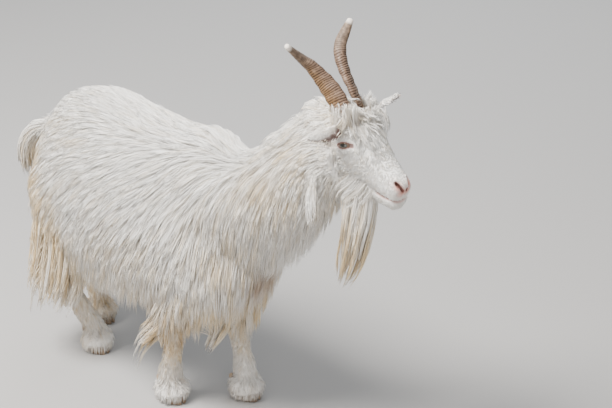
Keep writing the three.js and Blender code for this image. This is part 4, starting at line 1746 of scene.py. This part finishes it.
def hair_material():
    shader = Shader("goat_hair", Roughness=0.6, Specular_IOR_Level=0.35)
    along = shader.number("along")
    tone = shader.number("tone")
    colour = coat_colours(shader)
    # painted shade: the hair darkens towards its roots, and each tuft by a random tone
    low = (1.0 - along) ** 2.0
    colour = shader.blend(low * 0.34 + tone * 0.24, colour, SHADE_AND_TONE, "MULTIPLY")
    shader.feed("Base Color", colour)
    shader.feed("Roughness", 0.42 + tone * 0.2)
    return shader.material


def skin_material():
    shader = Shader("goat_skin", Roughness=0.75, Specular_IOR_Level=0.2)
    colour = coat_colours(shader)
    nap = shader.noise(520, 3)
    colour = shader.blend(nap * 0.45, colour, SHADE_AND_TONE, "MULTIPLY")
    pink = shader.number("pink")
    flush = shader.noise(90, 2)
    colour = shader.blend(pink, colour, shader.blend(flush * 0.6, PINK, FLUSH))
    # dark lid rims, and painted shade in the nostrils and along the mouth
    colour = shader.blend(shader.number("dark"), colour, DARK)
    shader.feed("Base Color", colour)
    shader.feed("Roughness", 0.8 - pink * 0.35)
    shader.bump(nap, 0.9, 0.0016)
    return shader.material


def horn_material():
    shader = Shader("goat_horn", Specular_IOR_Level=0.4)
    share = shader.number("share")
    ridge = shader.number("ridge")
    keel = shader.number("keel")
    body = shader.noise(42, 3)
    streak = shader.noise(160, 4)
    tan = shader.blend(body, *HORN_TANS)
    grey = shader.blend(body, *HORN_GREYS)
    colour = shader.blend(shader.step(keel + body * 0.8, 0.0, 1.1), tan, grey)
    colour = shader.blend(shader.step(share, 0.62, 0.9) * 0.8, colour, HORN_PALE)
    # painted shade in the grooves between the ridges
    groove = shader.step(ridge + streak * 0.4, 1.2, 0.62)
    colour = shader.blend(groove * 0.95, colour, HORN_GROOVE_SHADE)
    colour = shader.blend(shader.step(streak, 0.52, 0.72) * 0.55, colour, HORN_STREAK)
    colour = shader.blend(shader.step(share, 0.955, 0.995), colour, HORN_TIP)
    shader.feed("Base Color", colour)
    shader.feed("Roughness", 0.45 + groove * 0.3)
    shader.bump(streak + body * 0.5, 0.5, 0.0006)
    return shader.material


def eye_material():
    shader = Shader("goat_eye", Roughness=0.15, Coat_Weight=0.6, Coat_Roughness=0.03)
    ahead = shader.number("ahead")
    above = shader.number("above")
    front = shader.number("front")
    off = (ahead * ahead + above * above) ** 0.5
    turn = above.sum("ARCTAN2", above, ahead)
    rays = shader.noise(14, 3, shader.node("ShaderNodeCombineXYZ", {}, {0: turn, 1: off * 0.6}))
    iris = shader.blend(rays, *IRIS)
    iris = shader.blend(shader.step(off, 0.58, 0.72), iris, IRIS_EDGE)
    bar = (abs(above) * 3.3) ** 4.0 + (abs(ahead) * 1.6) ** 4.0
    pupil = shader.step(bar, 0.32, 0.16)
    colour = shader.blend(pupil, iris, PUPIL)
    corner = shader.blend(shader.noise(200, 2), *EYE_CORNER)
    colour = shader.blend(shader.step(off, 0.72, 0.82), colour, corner)
    colour = shader.blend(shader.step(front, 0.2, 0.0), colour, corner)
    shader.feed("Base Color", colour)
    return shader.material


def hoof_material():
    shader = Shader("goat_hoof", Specular_IOR_Level=0.4)
    height = shader.number("height")
    grain = shader.noise(120, 4, stretch=(1, 1, 0.25))
    rings = shader.node("ShaderNodeTexNoise", {}, {"Vector": shader.place(), "Scale": 300.0})
    colour = shader.blend(grain, *CLAW_HORN)
    colour = shader.blend(shader.step(height, 0.5, 1.0) * 0.5, colour, CLAW_TOP)
    colour = shader.blend(shader.step(height, 0.18, 0.0) * 0.7, colour, CLAW_SOLE)
    shader.feed("Base Color", colour)
    shader.feed("Roughness", 0.45 + grain * 0.3)
    shader.bump(grain + rings * 0.4, 0.6, 0.0008)
    return shader.material


def finished(piece, material, slot, *nodes):
    """Gives a piece its material, hangs it on the root, and hides the CAD nodes that it stands for;
    the slot is not used.
    """
    piece.data.materials.clear()
    piece.data.materials.append(material)
    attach(piece, "root")
    if nodes:
        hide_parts(*nodes)


# ---- Setting ----

CAMERA_AIM = (141, 250, 353)
CAMERA_DISTANCE = 3.4
CAMERA_TURN = math.radians(42.5)
CAMERA_HEIGHT = math.radians(24)
LENS = 99.06


def set_camera():
    a, e = CAMERA_TURN, CAMERA_HEIGHT
    back = Vector((math.sin(a) * math.cos(e), -math.cos(a) * math.cos(e), math.sin(e)))
    bpy.ops.object.camera_add(location=Vector(on_body(CAMERA_AIM)) + back * CAMERA_DISTANCE)
    camera = bpy.context.object
    camera.rotation_euler = back.to_track_quat("Z", "Y").to_euler()
    camera.data.lens = LENS
    camera.data.sensor_width = 36
    bpy.context.scene.camera = camera


def area_light(place, size, watts, colour):
    bpy.ops.object.light_add(type="AREA", location=place)
    lamp = bpy.context.object
    lamp.rotation_euler = (Vector(place) - Vector((0, 0, 0.35))).to_track_quat("Z", "Y").to_euler()
    lamp.data.size = size
    lamp.data.energy = watts
    lamp.data.color = colour


def set_lights():
    area_light((-0.7, -1.6, 3.3), 1.6, 480, (1.0, 0.98, 0.95))
    area_light((2.6, -2.4, 1.6), 2.5, 55, (1.0, 0.97, 0.93))
    area_light((-1.5, 2.8, 2.2), 2.5, 80, (0.86, 0.93, 1.0))
    world = bpy.data.worlds.new("sky")
    bpy.context.scene.world = world
    world.use_nodes = True
    background = world.node_tree.nodes["Background"]
    background.inputs["Color"].default_value = (0.86, 0.88, 0.91, 1)
    background.inputs["Strength"].default_value = 0.72


def lay_floor():
    bpy.ops.mesh.primitive_plane_add(size=30)
    floor = bpy.context.object
    floor.name = "floor"
    material = bpy.data.materials.new("floor")
    material.use_nodes = True
    shader = material.node_tree.nodes["Principled BSDF"]
    shader.inputs["Base Color"].default_value = (0.32, 0.31, 0.30, 1)
    shader.inputs["Roughness"].default_value = 0.9
    floor.data.materials.append(material)
    floor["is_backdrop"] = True


set_camera()
set_lights()
lay_floor()

coats = [coat_piece(name, number) for number, name in enumerate(COAT_NAMES)]
beard = locks(
    "coat_beard",
    [
        (BEARD, 1300, 80, 0.16, 0.75, 1.5, 9.0, 0.0, 0.62),
        (JAW, 640, 80, 0.45, 0.45, 1.1, 2.5, 0.4, 0.5),
    ],
)
forelock = locks(
    "coat_forelock",
    [
        (CREST, 320, 44, 0.4, 0.6, 1.0, 2.5, 0.0, 0.7),
        (PARTING, 160, 20, 0.4, 0.7, 1.0, 2.0, 0.0, 0.7),
        *[(rows, 260, 28, 0.5, 0.5, 1.0, 2.5, 0.0, 0.55) for rows in HORN_FRINGES],
        *[(rows, 190, 24, 0.4, 0.5, 1.0, 2.0, 0.0, 0.55) for rows in HORN_SIDE_FRINGES],
        (FORELOCKS[0], 900, 150, 0.75, 0.5, 0.9, 4.0, 0.2, 0.3),
        *[(rows, 320, 50, 0.75, 0.5, 0.9, 3.5, 0.2, 0.3) for rows in FORELOCKS[1:]],
    ],
)
wattle_sides = [np.array(WATTLE) * (1, sign, 1, 1, 1) for sign in (1, -1)]
wattles = locks(
    "coat_wattles",
    [(rows, 620, 60, 0.75, 0.35, 1.1, 4.5, 0.0, 0.35) for rows in wattle_sides],
    rings=4,
)
fetlocks = locks(
    "coat_fetlocks",
    [(foot_rows(leg), 600, 80, 0.85, 0.5, 1.2, 2.5, 0.2, 0.5) for leg in LEGS],
    rings=3,
)
lashes = eyelashes()
tail_hair = locks("coat_tail", [(TAIL, 1150, 60, 0.45, 0.6, 1.5, 4.0, 0.0, 0.75)])
elbows = locks(
    "coat_elbows",
    [
        (elbow_rows("fore_left"), 660, 40, 0.5, 0.75, 1.4, 7.0, 0.0, 0.62),
        (elbow_rows("fore_right"), 660, 40, 0.5, 0.75, 1.4, 7.0, 0.0, 0.62),
        (WISPS, 260, 10, 0.4, 0.8, 1.4, 5.0, 0.0, 0.7),
    ],
)
breeches = locks(
    "coat_breeches",
    [
        (thigh_rows("hind_left"), 1250, 64, 0.65, 0.72, 1.6, 10.0, 0.5, 0.55),
        (thigh_rows("hind_right"), 1250, 64, 0.65, 0.72, 1.6, 10.0, 0.5, 0.55),
    ],
)

hair = hair_material()
finished(skin, skin_material(), "coat_white", *[node for node in FLESH if node != "tail"])
for piece in coats + [forelock, wattles, fetlocks, lashes]:
    finished(piece, hair, "coat_white")
finished(tail_hair, hair, "coat_white", "tail")
finished(beard, hair, "coat_cream", "beard")
for piece in (elbows, breeches):
    finished(piece, hair, "coat_cream")

horn_finish, eye_finish, hoof_finish = horn_material(), eye_material(), hoof_material()
for sign, side in ((1, "left"), (-1, "right")):
    finished(horn(sign), horn_finish, "horn", f"horn_{side}")
    finished(eyeball(sign), eye_finish, "eye", f"eye_{side}")
for leg in LEGS:
    finished(hooves(leg), hoof_finish, "claw", *CLAW_NODES[leg])

sizes = {"cad": cad_box, "visual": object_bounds()}
for name, box in sizes.items():
    sizes[name] = [[round(float(value), 5) for value in corner] for corner in box]
